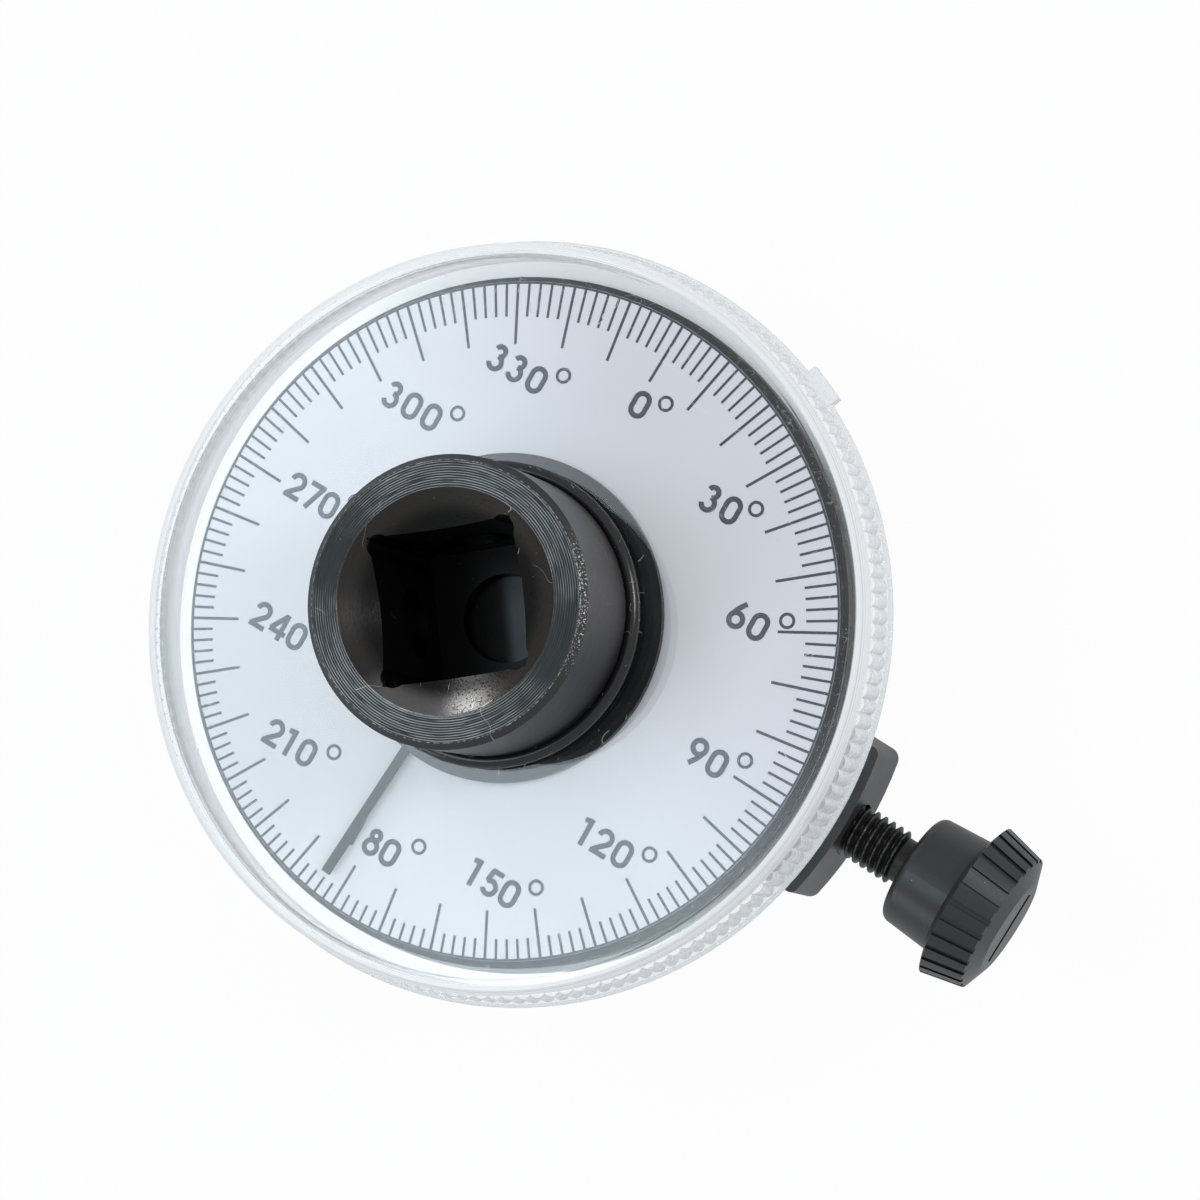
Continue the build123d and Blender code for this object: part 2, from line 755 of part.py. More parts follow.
with BuildPart() as clamp_knob:
    with BuildSketch(screw_section):
        with BuildLine():
            Polyline(
                (knob_start, 0),
                (knob_start, knob_hub_start_radius - knob_hub_fillet),
            )
            TangentArc(
                (knob_start, knob_hub_start_radius - knob_hub_fillet),
                (knob_start + knob_hub_fillet, knob_hub_start_radius),
                tangent=(0, 1),
            )
            Polyline(
                (knob_start + knob_hub_fillet, knob_hub_start_radius),
                (head_start, knob_hub_end_radius),
                (rib_start, knob_head_radius),
                (rib_end, knob_head_end_radius),
                (knob_end, knob_end_radius),
                (knob_end, 0),
                (knob_start, 0),
            )
        make_face()
    revolve(axis=screw_axis)
    # Grip grooves along the taper
    rib_step = 360 / knob_rib_count
    with BuildSketch(*[groove_plane(step * rib_step) for step in range(knob_rib_count)]):
        with BuildLine():
            Polyline(
                (-knob_groove_width / 2, knob_groove_depth / 2),
                (0, -knob_groove_depth),
                (knob_groove_width / 2, knob_groove_depth / 2),
                close=True,
            )
        make_face()
    extrude(amount=knob_head_length + 2, mode=Mode.SUBTRACT)
    # Screwdriver slot across the end
    with BuildSketch(screw_plane(knob_end)):
        Rectangle(knob_slot_length, knob_slot_width)
    extrude(amount=-knob_slot_depth, mode=Mode.SUBTRACT)
    # Moulded-in seat of the stud
    with BuildSketch(screw_plane(knob_start)):
        Circle(stud_radius + fixed_gap)
    extrude(amount=stud_in_knob + fixed_gap, mode=Mode.SUBTRACT)
save(clamp_knob, "clamp_knob")
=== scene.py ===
from math import cos, floor as whole, pi, radians, sin

import bpy
from mathutils import Matrix, Vector


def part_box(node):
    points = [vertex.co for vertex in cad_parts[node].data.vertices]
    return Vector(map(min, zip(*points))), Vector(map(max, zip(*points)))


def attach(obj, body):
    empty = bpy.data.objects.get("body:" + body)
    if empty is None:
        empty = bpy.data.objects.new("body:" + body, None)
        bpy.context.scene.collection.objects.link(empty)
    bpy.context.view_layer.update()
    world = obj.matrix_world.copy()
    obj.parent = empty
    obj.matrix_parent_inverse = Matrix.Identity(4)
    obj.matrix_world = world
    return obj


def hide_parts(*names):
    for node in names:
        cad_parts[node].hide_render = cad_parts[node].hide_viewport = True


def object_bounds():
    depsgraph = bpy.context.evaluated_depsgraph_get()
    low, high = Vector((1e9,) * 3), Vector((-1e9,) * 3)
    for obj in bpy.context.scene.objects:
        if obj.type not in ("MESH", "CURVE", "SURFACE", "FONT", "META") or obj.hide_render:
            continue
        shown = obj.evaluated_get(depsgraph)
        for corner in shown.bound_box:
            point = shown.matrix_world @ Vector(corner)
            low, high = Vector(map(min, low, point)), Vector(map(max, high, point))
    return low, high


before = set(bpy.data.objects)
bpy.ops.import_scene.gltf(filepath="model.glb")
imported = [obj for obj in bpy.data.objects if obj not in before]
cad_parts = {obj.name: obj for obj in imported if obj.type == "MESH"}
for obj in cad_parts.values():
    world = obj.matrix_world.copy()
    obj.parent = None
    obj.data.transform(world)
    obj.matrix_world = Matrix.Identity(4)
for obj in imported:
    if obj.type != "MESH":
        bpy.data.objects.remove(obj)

cad_low, cad_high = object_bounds()
MM = 0.001


# Camera: a long lens that looks at the gauge's face from its lower right, as
# a product photograph does.
camera_place = Vector((88.18, -37.91, 292.3)) * MM
camera_target = Vector((8.81, 0.33, 16.0)) * MM
picture_up = Vector((0.1457, 0.9848, 0.0944))
camera_data = bpy.data.cameras.new("camera")
camera_data.lens = 99.0
camera_data.sensor_width = 36.0
camera_data.clip_start = 0.01
camera = bpy.data.objects.new("camera", camera_data)
bpy.context.scene.collection.objects.link(camera)
backward = (camera_place - camera_target).normalized()
rightward = picture_up.cross(backward).normalized()
upward = backward.cross(rightward)
turned = Matrix((rightward, upward, backward)).transposed().to_4x4()
camera.matrix_world = Matrix.Translation(camera_place) @ turned
bpy.context.scene.camera = camera
bpy.context.scene.view_settings.view_transform = "Standard"


# Floor: a plain pale surface that the male square's tip stands on. The camera sees it
# almost white, and it keeps a faint shadow.
def new_material(name):
    """A material with an empty node tree."""
    material = bpy.data.materials.new(name)
    material.use_nodes = True
    material.node_tree.nodes.clear()
    return material


def add_node(tree, kind, inputs=None, **settings):
    """Adds a node. An input given as another node's output is linked, and a plain value is set."""
    node = tree.nodes.new(kind)
    for setting, value in settings.items():
        setattr(node, setting, value)
    for socket, value in (inputs or {}).items():
        if isinstance(value, bpy.types.NodeSocket):
            tree.links.new(value, node.inputs[socket])
        else:
            node.inputs[socket].default_value = value
    return node


def calc(tree, operation, *values):
    """The result of one Math node."""
    return add_node(tree, "ShaderNodeMath", dict(enumerate(values)), operation=operation).outputs[0]


def seen_directly(tree):
    """1 for what the camera sees straight, in a reflection or through the clear cover."""
    path = add_node(tree, "ShaderNodeLightPath")
    seen = calc(tree, "MAXIMUM", path.outputs["Is Camera Ray"], path.outputs["Is Glossy Ray"])
    return calc(tree, "MAXIMUM", seen, path.outputs["Is Transmission Ray"])


floor_half = 3.0
floor_share_of_white = 0.95
floor_mesh = bpy.data.meshes.new("floor")
corner_ways = ((-1, -1), (1, -1), (1, 1), (-1, 1))
floor_corners = [(x * floor_half, y * floor_half, cad_low[2]) for x, y in corner_ways]
floor_mesh.from_pydata(floor_corners, [], [(0, 1, 2, 3)])
floor = bpy.data.objects.new("floor", floor_mesh)
bpy.context.scene.collection.objects.link(floor)
floor_paper = new_material("floor_paper")
tree = floor_paper.node_tree
paper = add_node(tree, "ShaderNodeBsdfDiffuse", {"Color": (0.86, 0.87, 0.88, 1)})
white = add_node(tree, "ShaderNodeEmission", {"Color": (1, 1, 1, 1), "Strength": 1.0})
path = add_node(tree, "ShaderNodeLightPath")
to_camera = calc(tree, "MAXIMUM", path.outputs["Is Camera Ray"], path.outputs["Is Transmission Ray"])
share = calc(tree, "MULTIPLY", to_camera, floor_share_of_white)
mixed = add_node(tree, "ShaderNodeMixShader", {0: share, 1: paper.outputs[0], 2: white.outputs[0]})
add_node(tree, "ShaderNodeOutputMaterial", {"Surface": mixed.outputs[0]})
floor_mesh.materials.append(floor_paper)


# Light: a pale tent all round, a wide soft box above at the left that the window
# reflects, and smaller lamps at the right, the top and the lower left.
tent_on_object = 0.64
tent_in_reflections = 0.62
world = bpy.data.worlds.new("light_tent")
bpy.context.scene.world = world
world.use_nodes = True
tent = world.node_tree.nodes["Background"]
tent.inputs["Color"].default_value = (0.97, 0.985, 1.0, 1)
tent_strength = calc(
    world.node_tree,
    "MULTIPLY_ADD",
    seen_directly(world.node_tree),
    tent_in_reflections - tent_on_object,
    tent_on_object,
)
world.node_tree.links.new(tent_strength, tent.inputs["Strength"])


dial_middle = Vector((0, 0, 15))


def soft_lamp(name, place, width, height, radiance, color=(1, 1, 1), roll=0, fade=0.02):
    """A soft box at a place in millimetres, facing the dial. White paper is 1 in radiance.
    It is rolled by degrees about its own axis, and fades out over a share of its sides."""
    data = bpy.data.lights.new(name, "AREA")
    data.shape = "RECTANGLE"
    data.size = width * MM
    data.size_y = height * MM
    data.energy = radiance * pi * width * height * MM * MM
    data.color = color
    lamp = bpy.data.objects.new(name, data)
    bpy.context.scene.collection.objects.link(lamp)
    facing = (dial_middle - Vector(place)).to_track_quat("-Z", "Y").to_matrix().to_4x4()
    spin = Matrix.Rotation(radians(roll), 4, "Z")
    lamp.matrix_world = Matrix.Translation(Vector(place) * MM) @ facing @ spin
    data.use_nodes = True
    tree = data.node_tree
    across = add_node(tree, "ShaderNodeNewGeometry").outputs["Parametric"]
    sides = add_node(tree, "ShaderNodeSeparateXYZ", {0: across}).outputs
    inside = 1.0
    for side in sides[:2]:
        to_edge = calc(tree, "SUBTRACT", 0.5, calc(tree, "ABSOLUTE", calc(tree, "SUBTRACT", side, 0.5)))
        inputs = {"Value": to_edge, "From Max": fade}
        ramp = add_node(tree, "ShaderNodeMapRange", inputs, interpolation_type="SMOOTHSTEP")
        inside = calc(tree, "MULTIPLY", inside, ramp.outputs[0])
    tree.links.new(inside, tree.nodes["Emission"].inputs["Strength"])


soft_lamp("lamp_above", (-227, 41, 515), 380, 290, 2.9, color=(0.76, 0.91, 1.0), roll=34.4, fade=0.25)
soft_lamp("lamp_top", (-190, 370, 170), 160, 90, 7.0)
soft_lamp("lamp_right", (320, 45, 255), 110, 150, 7.5)
soft_lamp("lamp_left", (-330, -205, 190), 140, 140, 3.0)


# Drive body: one bar of steel, turned, broached with a square hole in front and milled
# to a male square behind, then chemically blackened. Its face keeps the tool's grooves,
# with painted glints on their tops, and the blacking is worn on the outer bevel, where
# the bright chips are kept to the lit right side as a painted highlight. Its colour also
# holds painted shade on the head's lower side and in the socket, and a painted highlight
# at the countersink's bottom and a painted reflection on the pilot's floor.
def place_in_mm(tree):
    """The point on the surface, in millimetres in the gauge's own frame."""
    coordinates = add_node(tree, "ShaderNodeTexCoord")
    inputs = {0: coordinates.outputs["Object"], "Scale": 1 / MM}
    return add_node(tree, "ShaderNodeVectorMath", inputs, operation="SCALE").outputs[0]


def split(tree, place):
    """A place's x, y and z, and its distance from the drive axis."""
    parts = add_node(tree, "ShaderNodeSeparateXYZ", {0: place}).outputs
    squared = calc(tree, "MULTIPLY_ADD", parts[0], parts[0], calc(tree, "MULTIPLY", parts[1], parts[1]))
    return parts[0], parts[1], parts[2], calc(tree, "SQRT", squared)


def grain(tree, place, per_mm, detail=3.0, stretch=(1, 1, 1)):
    """Random grain from 0 to 1, about per_mm lumps to the millimetre, finer along a stretched axis."""
    stretched = add_node(tree, "ShaderNodeVectorMath", {0: place, 1: stretch}, operation="MULTIPLY")
    inputs = {"Vector": stretched.outputs[0], "Scale": per_mm, "Detail": detail}
    return add_node(tree, "ShaderNodeTexNoise", inputs).outputs[0]


def step(tree, value, start, end):
    """Goes smoothly from 0 at start to 1 at end."""
    inputs = {"Value": value, "From Min": start, "From Max": end}
    return add_node(tree, "ShaderNodeMapRange", inputs, interpolation_type="SMOOTHSTEP").outputs[0]


def above(tree, value, limit, soft=0.05):
    """1 over a limit and 0 under it, with a soft change on each side."""
    return step(tree, value, limit - soft, limit + soft)


def below(tree, value, limit, soft=0.05):
    """1 under a limit and 0 over it, with a soft change on each side."""
    return step(tree, value, limit + soft, limit - soft)


def apart(tree, value, middle):
    """How far a value is from a middle one."""
    return calc(tree, "ABSOLUTE", calc(tree, "SUBTRACT", value, middle))


def both(tree, *masks):
    """Where all of several masks are."""
    product = masks[0]
    for mask in masks[1:]:
        product = calc(tree, "MULTIPLY", product, mask)
    return product


def blend(tree, share, first, second):
    """A colour between two, by share."""
    inputs = {0: share}
    for socket, color in ((6, first), (7, second)):
        inputs[socket] = color if isinstance(color, bpy.types.NodeSocket) else (*color, 1)
    return add_node(tree, "ShaderNodeMix", inputs, data_type="RGBA").outputs[2]


def waves(tree, value, pitch):
    """Even ripples from 0 to 1 along a value in millimetres."""
    ripple = calc(tree, "SINE", calc(tree, "MULTIPLY", value, 2 * pi / pitch))
    return calc(tree, "MULTIPLY_ADD", ripple, 0.5, 0.5)


def fibres(tree, place, per_mm, width, amount):
    """Thin curled lines, as lint and hair scratches make; fewer of them as amount nears 1."""
    lines = apart(tree, grain(tree, place, per_mm, 1.0), 0.5)
    shifted = add_node(tree, "ShaderNodeVectorMath", {0: place, 1: (31, 17, 5)}, operation="ADD").outputs[0]
    kept = step(tree, grain(tree, shifted, per_mm * 2.2, 0.0), amount, amount + 0.03)
    return both(tree, step(tree, lines, width, 0), kept)


def specks(tree, place, per_mm, size, kept=0.5):
    """Small round grains of dust: the share of cells that hold one is 1 - kept."""
    cells = add_node(tree, "ShaderNodeTexVoronoi", {"Vector": place, "Scale": per_mm})
    chance = add_node(tree, "ShaderNodeSeparateXYZ", {0: cells.outputs["Color"]}).outputs[0]
    spot = step(tree, cells.outputs["Distance"], size, size * 0.5)
    return both(tree, spot, calc(tree, "GREATER_THAN", chance, kept))


def surface(material, color, roughness, height=None, relief=0.01, **uniform):
    """Ends a material in one Principled shader, with a height of relief millimetres as its bump."""
    tree = material.node_tree
    inputs = {"Base Color": color if isinstance(color, bpy.types.NodeSocket) else (*color, 1)}
    inputs["Roughness"] = roughness
    for name, value in uniform.items():
        inputs[name.replace("_", " ").title().replace("Ior", "IOR")] = value
    if height is not None:
        bump = add_node(tree, "ShaderNodeBump", {"Height": height, "Distance": relief * MM})
        inputs["Normal"] = bump.outputs[0]
    shader = add_node(tree, "ShaderNodeBsdfPrincipled", inputs)
    add_node(tree, "ShaderNodeOutputMaterial", {"Surface": shader.outputs[0]})


def new_finish(name):
    """A material, its node tree, and the point on the surface."""
    material = new_material(name)
    return material, material.node_tree, place_in_mm(material.node_tree)


def dress(node, material):
    """Gives a carried-over CAD node its finish."""
    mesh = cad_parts[node].data
    mesh.materials.clear()
    mesh.materials.append(material)


face_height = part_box("drive_body")[1][2] / MM
head_radius = 12.5
head_bottom = 20.25
heel_top = 21.05
bevel = 0.55
rim_radius = head_radius - bevel
countersink_radius = 9.65
countersink_slope = 1.732
countersink_bottom = 26.25
socket_reach = 9.3
socket_mouth = 31.5
socket_bottom = 13.55
pilot_reach = 4.0
pilot_top = 16.2
square_top = 0.1
square_corner = 8.26
groove_pitch = 0.21
blacked_steel, tree, place = new_finish("blacked_steel")
x, y, z, reach = split(tree, place)
on_face = both(tree, above(tree, z, face_height - 0.15), above(tree, reach, countersink_radius))
on_side = above(tree, reach, head_radius - 0.25)
on_head = above(tree, z, head_bottom, 0.25)
on_bevel = above(tree, calc(tree, "ADD", reach, z), rim_radius + face_height - 0.08, 0.06)
on_heel = both(
    tree,
    above(tree, calc(tree, "SUBTRACT", reach, z), head_radius - heel_top, 0.07),
    below(tree, z, heel_top, 0.15),
    above(tree, z, head_bottom + 0.3),
)
cone = calc(tree, "SUBTRACT", z, face_height)
cone = calc(tree, "MULTIPLY_ADD", cone, countersink_slope, countersink_radius)
off_cone = calc(tree, "ABSOLUTE", calc(tree, "SUBTRACT", reach, cone))
on_countersink = both(tree, below(tree, off_cone, 0.175, 0.075), above(tree, z, countersink_bottom, 0.25))
in_socket = both(
    tree,
    below(tree, reach, socket_reach, 0.1),
    below(tree, z, socket_mouth, 0.5),
    above(tree, z, socket_bottom),
)
in_pilot = both(tree, in_socket, below(tree, reach, pilot_reach - 0.05), below(tree, z, pilot_top - 0.1, 0.1))
on_edge = both(tree, below(tree, z, square_top, 0.2), above(tree, reach, square_corner, 0.08))
on_rim = both(tree, on_head, below(tree, apart(tree, reach, rim_radius), 0.03, 0.02))
worn_ends = calc(tree, "MAXIMUM", on_bevel, on_heel)

rightwards = calc(tree, "DIVIDE", x, reach)
upwards = calc(tree, "DIVIDE", y, reach)
to_upper_right = calc(tree, "MULTIPLY_ADD", rightwards, 0.50, calc(tree, "MULTIPLY", upwards, 0.87))
across_light = calc(tree, "ABSOLUTE", to_upper_right)
# The lit right side: the bevel's pale chips stay on it, so they are partly worn blacking and partly a painted
# highlight.
to_lit_side = calc(tree, "MULTIPLY_ADD", upwards, -0.15, rightwards)
lit_side = step(tree, to_lit_side, 0.84, 0.995)
# At the countersink's bottom the lighter colour is a painted highlight where the top lamp's reflection falls;
# its lower roughness is a real burnish.
to_highlight_patch = calc(tree, "MULTIPLY_ADD", rightwards, 0.32, upwards)
burnished_highlight = both(tree, on_countersink, step(tree, to_highlight_patch, -0.80, -0.98))
to_oily = calc(tree, "MULTIPLY_ADD", rightwards, 0.45, upwards)
oily = both(tree, on_countersink, step(tree, to_oily, 0.55, 0.95))
# The head's side is painted darker towards its lower side: a painted shade.
to_shaded_side = calc(tree, "MULTIPLY_ADD", rightwards, -0.4, upwards)
shaded_side = both(tree, step(tree, to_shaded_side, -0.55, -0.95), above(tree, reach, head_radius - 0.15))

wander = calc(tree, "MULTIPLY", grain(tree, place, 0.4, 1.0), 0.05)
along = calc(tree, "ADD", reach, wander)
round_face = {0: along, 1: calc(tree, "MULTIPLY", x, 0.04), 2: calc(tree, "MULTIPLY", y, 0.04)}
uneven = grain(tree, add_node(tree, "ShaderNodeCombineXYZ", round_face).outputs[0], 9.0, 2.0)
grooves = calc(tree, "MULTIPLY", waves(tree, along, groove_pitch), 0.60)
grooves = calc(tree, "MULTIPLY_ADD", uneven, 0.8, grooves)
# Lighter groove tops, strongest towards the upper right and lower left, are painted glints of the lamps on
# the turned grooves.
glint_patches = calc(tree, "MULTIPLY_ADD", grain(tree, place, 0.4, 2.0), 0.8, across_light)
groove_glints = both(tree, step(tree, grooves, 0.80, 0.96), step(tree, glint_patches, 0.50, 1.30), on_face)
turning = grain(tree, place, 1.0, 3.0, (0.25, 0.25, 14.0))
broaching = grain(tree, place, 1.0, 3.0, (7.0, 7.0, 0.25))
rough = grain(tree, place, 5.0, 5.0)
mottled = both(tree, grain(tree, place, 2.6, 5.0), on_side)
chips_and_glints = both(tree, step(tree, grain(tree, place, 7.0, 3.0), 0.56, 0.66), lit_side)
pits = step(tree, grain(tree, place, 5.5, 4.0), 0.58, 0.68)
rim_nicks = both(tree, on_rim, step(tree, grain(tree, place, 3.0, 5.0), 0.46, 0.60))
nicks = specks(tree, place, 1.3, 0.07, 0.70)
lint = fibres(tree, place, 0.19, 0.0022, 0.63)
rust = step(tree, grain(tree, place, 1.7, 2.0), 0.735, 0.76)

color = blend(tree, mottled, (0.076, 0.071, 0.073), (0.140, 0.131, 0.133))
for share, over in (
    (on_face, (0.023, 0.026, 0.027)),
    (on_countersink, (0.034, 0.031, 0.029)),
    (burnished_highlight, (0.115, 0.115, 0.112)),
    (shaded_side, (0.018, 0.018, 0.020)),
    # Inside the socket the colour is darker than the face: a painted shade for the deep recess.
    (in_socket, (0.007, 0.007, 0.007)),
    # The pilot's floor is painted lighter and bluer on its right half: a painted reflection of light there.
    (both(tree, in_pilot, step(tree, x, -1.2, 0.2)), (0.050, 0.057, 0.062)),
    (groove_glints, (0.24, 0.245, 0.25)),
    (worn_ends, (0.050, 0.050, 0.052)),
    (both(tree, worn_ends, chips_and_glints), (0.60, 0.59, 0.57)),
    (rim_nicks, (0.36, 0.36, 0.35)),
    (both(tree, on_edge, step(tree, rough, 0.36, 0.70)), (0.15, 0.15, 0.15)),
    (rust, (0.085, 0.036, 0.018)),
    (both(tree, nicks, on_head), (0.20, 0.19, 0.18)),
    (both(tree, lint, on_head), (0.42, 0.41, 0.40)),
):
    color = blend(tree, share, color, over)
roughness = calc(tree, "MULTIPLY_ADD", turning, 0.16, 0.30)
for share, more in ((on_countersink, -0.14), (burnished_highlight, -0.06), (oily, 0.30), (worn_ends, 0.08)):
    roughness = calc(tree, "MULTIPLY_ADD", share, more, roughness)
height = 0.0
for share, more in (
    (both(tree, grooves, on_face), 1.5),
    (both(tree, worn_ends, lit_side, rough), 5.0),
    (both(tree, on_countersink, pits), -1.6),
    (turning, 0.28),
    (both(tree, broaching, in_socket), 0.5),
    (rough, 0.5),
):
    height = calc(tree, "MULTIPLY_ADD", share, more, height)
surface(blacked_steel, color, roughness, height, 0.012, metallic=0.78)
dress("drive_body", blacked_steel)


# Detent ball and its spring: a hardened, polished bearing ball behind a peened lip in
# the male square, and a few turns of drawn spring wire that press it out.
polished_steel, tree, place = new_finish("polished_steel")
rubbed = fibres(tree, place, 0.9, 0.01, 0.45)
color = blend(tree, grain(tree, place, 0.8), (0.60, 0.61, 0.62), (0.50, 0.50, 0.51))
color = blend(tree, rubbed, color, (0.72, 0.72, 0.72))
roughness = calc(tree, "MULTIPLY_ADD", grain(tree, place, 3.0), 0.10, 0.08)
surface(polished_steel, color, roughness, rubbed, 0.002, metallic=1.0)
dress("detent_ball", polished_steel)

spring_steel, tree, place = new_finish("spring_steel")
drawn = grain(tree, place, 6.0, 3.0, (0.4, 1.0, 1.0))
color = blend(tree, drawn, (0.20, 0.20, 0.20), (0.38, 0.38, 0.37))
surface(spring_steel, color, calc(tree, "MULTIPLY_ADD", drawn, 0.2, 0.22), drawn, 0.004, metallic=1.0)
dress("detent_spring", spring_steel)


# Retaining ring: stamped from spring steel strip and phosphated nearly black, with a
# brighter sheared edge. It snaps into the journal's groove and holds the stack.
ring_edge = 13.3
stamped_steel, tree, place = new_finish("stamped_steel")
*_, reach = split(tree, place)
crystals = grain(tree, place, 9.0, 4.0)
edges = below(tree, apart(tree, reach, ring_edge), 0.07)
color = blend(tree, crystals, (0.030, 0.030, 0.032), (0.060, 0.059, 0.058))
color = blend(tree, both(tree, edges, crystals), color, (0.30, 0.30, 0.30))
surface(stamped_steel, color, calc(tree, "MULTIPLY_ADD", crystals, 0.2, 0.38), crystals, 0.010, metallic=0.8)
dress("retaining_ring", stamped_steel)


# Rear and front thrust washers: punched from natural nylon sheet, a little yellow and
# waxy, with the rub marks of the faces that turn on them.
nylon, tree, place = new_finish("natural_nylon")
*_, reach = split(tree, place)
rubs = waves(tree, calc(tree, "MULTIPLY_ADD", grain(tree, place, 0.3), 0.8, reach), 0.43)
rub_lines = both(tree, step(tree, rubs, 0.7, 1.0), step(tree, grain(tree, place, 0.5, 2.0), 0.45, 0.65))
color = blend(tree, grain(tree, place, 0.5), (0.70, 0.68, 0.60), (0.60, 0.575, 0.49))
color = blend(tree, rub_lines, color, (0.42, 0.40, 0.36))
height = calc(tree, "MULTIPLY_ADD", rub_lines, -0.5, grain(tree, place, 5.0))
surface(nylon, color, calc(tree, "MULTIPLY_ADD", rub_lines, -0.12, 0.42), height, 0.006)
dress("rear_washer", nylon)
dress("front_washer", nylon)


# Drive bush: a flanged sleeve moulded in grey acetal and pressed into the housing, in
# which the journal turns.
acetal, tree, place = new_finish("grey_acetal")
*_, reach = split(tree, place)
rubs = waves(tree, calc(tree, "MULTIPLY_ADD", grain(tree, place, 0.4), 0.5, reach), 0.31)
color = blend(tree, grain(tree, place, 0.9), (0.23, 0.235, 0.24), (0.30, 0.305, 0.31))
height = calc(tree, "MULTIPLY_ADD", rubs, 0.4, grain(tree, place, 6.0))
surface(acetal, color, calc(tree, "MULTIPLY_ADD", rubs, 0.1, 0.36), height, 0.005)
dress("drive_bush", acetal)


# Housing: one moulding in black glass-filled nylon, with a boss behind, a spigot in
# front and the clamp lug at its side. Its skin is satin from a spark-eroded mould.
def moulded_black(name, dark, light, roughness, relief):
    """Black moulded plastic: a fine mould skin, faint clouding, a few pale scuffs and dust."""
    material = new_material(name)
    tree = material.node_tree
    place = place_in_mm(tree)
    skin = grain(tree, place, 7.0, 4.0)
    clouds = grain(tree, place, 0.35, 3.0)
    scuffs = fibres(tree, place, 0.35, 0.004, 0.66)
    dust = specks(tree, place, 1.1, 0.055, 0.82)
    color = blend(tree, clouds, dark, light)
    color = blend(tree, calc(tree, "MULTIPLY", scuffs, 0.25), color, (0.16, 0.17, 0.18))
    color = blend(tree, dust, color, (0.34, 0.35, 0.36))
    rough = calc(tree, "MULTIPLY_ADD", skin, 0.14, roughness - 0.07)
    rough = calc(tree, "MULTIPLY_ADD", clouds, 0.10, rough)
    height = calc(tree, "MULTIPLY_ADD", scuffs, -0.6, skin)
    surface(material, color, rough, height, relief)
    return material


housing_nylon = moulded_black("housing_nylon", (0.022, 0.023, 0.025), (0.036, 0.038, 0.041), 0.33, 0.004)
dress("housing", housing_nylon)


# Square nut: cut from bright zinc-plated bar and moulded into the lug, where its
# threaded hole takes the clamp screw.
plated_steel, tree, place = new_finish("plated_steel")
brushed = grain(tree, place, 2.0, 3.0, (1.0, 1.0, 9.0))
color = blend(tree, brushed, (0.46, 0.47, 0.49), (0.62, 0.63, 0.64))
surface(plated_steel, color, calc(tree, "MULTIPLY_ADD", brushed, 0.18, 0.24), brushed, 0.004, metallic=1.0)
dress("clamp_nut", plated_steel)


# Friction ring: pressed wool felt between the plate and the dial carrier. It holds
# the dial where it is set, and turns with a hand's push.
felt, tree, place = new_finish("grey_felt")
hairs = calc(tree, "MAXIMUM", fibres(tree, place, 1.4, 0.03, 0.35), fibres(tree, place, 2.3, 0.04, 0.40))
tufts = grain(tree, place, 2.2, 6.0)
color = blend(tree, tufts, (0.075, 0.078, 0.085), (0.15, 0.155, 0.165))
color = blend(tree, hairs, color, (0.27, 0.275, 0.28))
surface(felt, color, 0.95, calc(tree, "MULTIPLY_ADD", hairs, 0.6, tufts), 0.07, sheen_weight=0.3)
dress("friction_ring", felt)


# Dial carrier: a black plastic disc that turns on the housing's spigot and stands out
# as a dark ring round the dial. Dust and fine shavings have got in under the window.
carrier_plastic, tree, place = new_finish("carrier_plastic")
skin = grain(tree, place, 5.0, 4.0)
dust = calc(tree, "MAXIMUM", specks(tree, place, 3.8, 0.16, 0.60), specks(tree, place, 1.7, 0.10, 0.5))
shavings = fibres(tree, place, 0.9, 0.012, 0.48)
color = blend(tree, grain(tree, place, 0.7, 3.0), (0.007, 0.008, 0.010), (0.016, 0.018, 0.020))
color = blend(tree, both(tree, dust, skin), color, (0.62, 0.64, 0.64))
color = blend(tree, calc(tree, "MULTIPLY", shavings, 0.55), color, (0.50, 0.52, 0.52))
roughness = calc(tree, "MULTIPLY_ADD", skin, 0.3, 0.30)
surface(carrier_plastic, color, roughness, skin, 0.01, specular_ior_level=0.2)
dress("dial_carrier", carrier_plastic)


# Carrier clip: a split ring of spring wire strip in the spigot's groove, which holds
# the carrier down. It has the same phosphate finish as the retaining ring.
dress("carrier_clip", stamped_steel)


# Dial plate: a thin aluminium disc, stove-enamelled a cool white and blackened at its
# cut edge, bonded on the carrier.
dial_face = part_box("dial_plate")[1][2] / MM
dial_radius = 30.25
white_enamel, tree, place = new_finish("white_enamel")
clouds = grain(tree, place, 0.07, 2.0)
orange_peel = grain(tree, place, 0.5, 2.0)
marks = both(tree, specks(tree, place, 0.35, 0.06, 0.55), step(tree, grain(tree, place, 0.9), 0.40, 0.60))
color = blend(tree, clouds, (0.735, 0.735, 0.770), (0.680, 0.682, 0.718))
color = blend(tree, calc(tree, "MULTIPLY", marks, 0.45), color, (0.33, 0.35, 0.38))
_, _, z, reach = split(tree, place)
cut_edge = both(tree, below(tree, z, dial_face - 0.03, 0.02), above(tree, reach, dial_radius - 0.2))
color = blend(tree, cut_edge, color, (0.008, 0.009, 0.011))
shine = calc(tree, "MULTIPLY_ADD", cut_edge, -0.4, 0.5)
roughness = calc(tree, "MULTIPLY_ADD", orange_peel, 0.12, 0.42)
surface(white_enamel, color, roughness, orange_peel, 0.0004, specular_ior_level=shine)
dress("dial_plate", white_enamel)


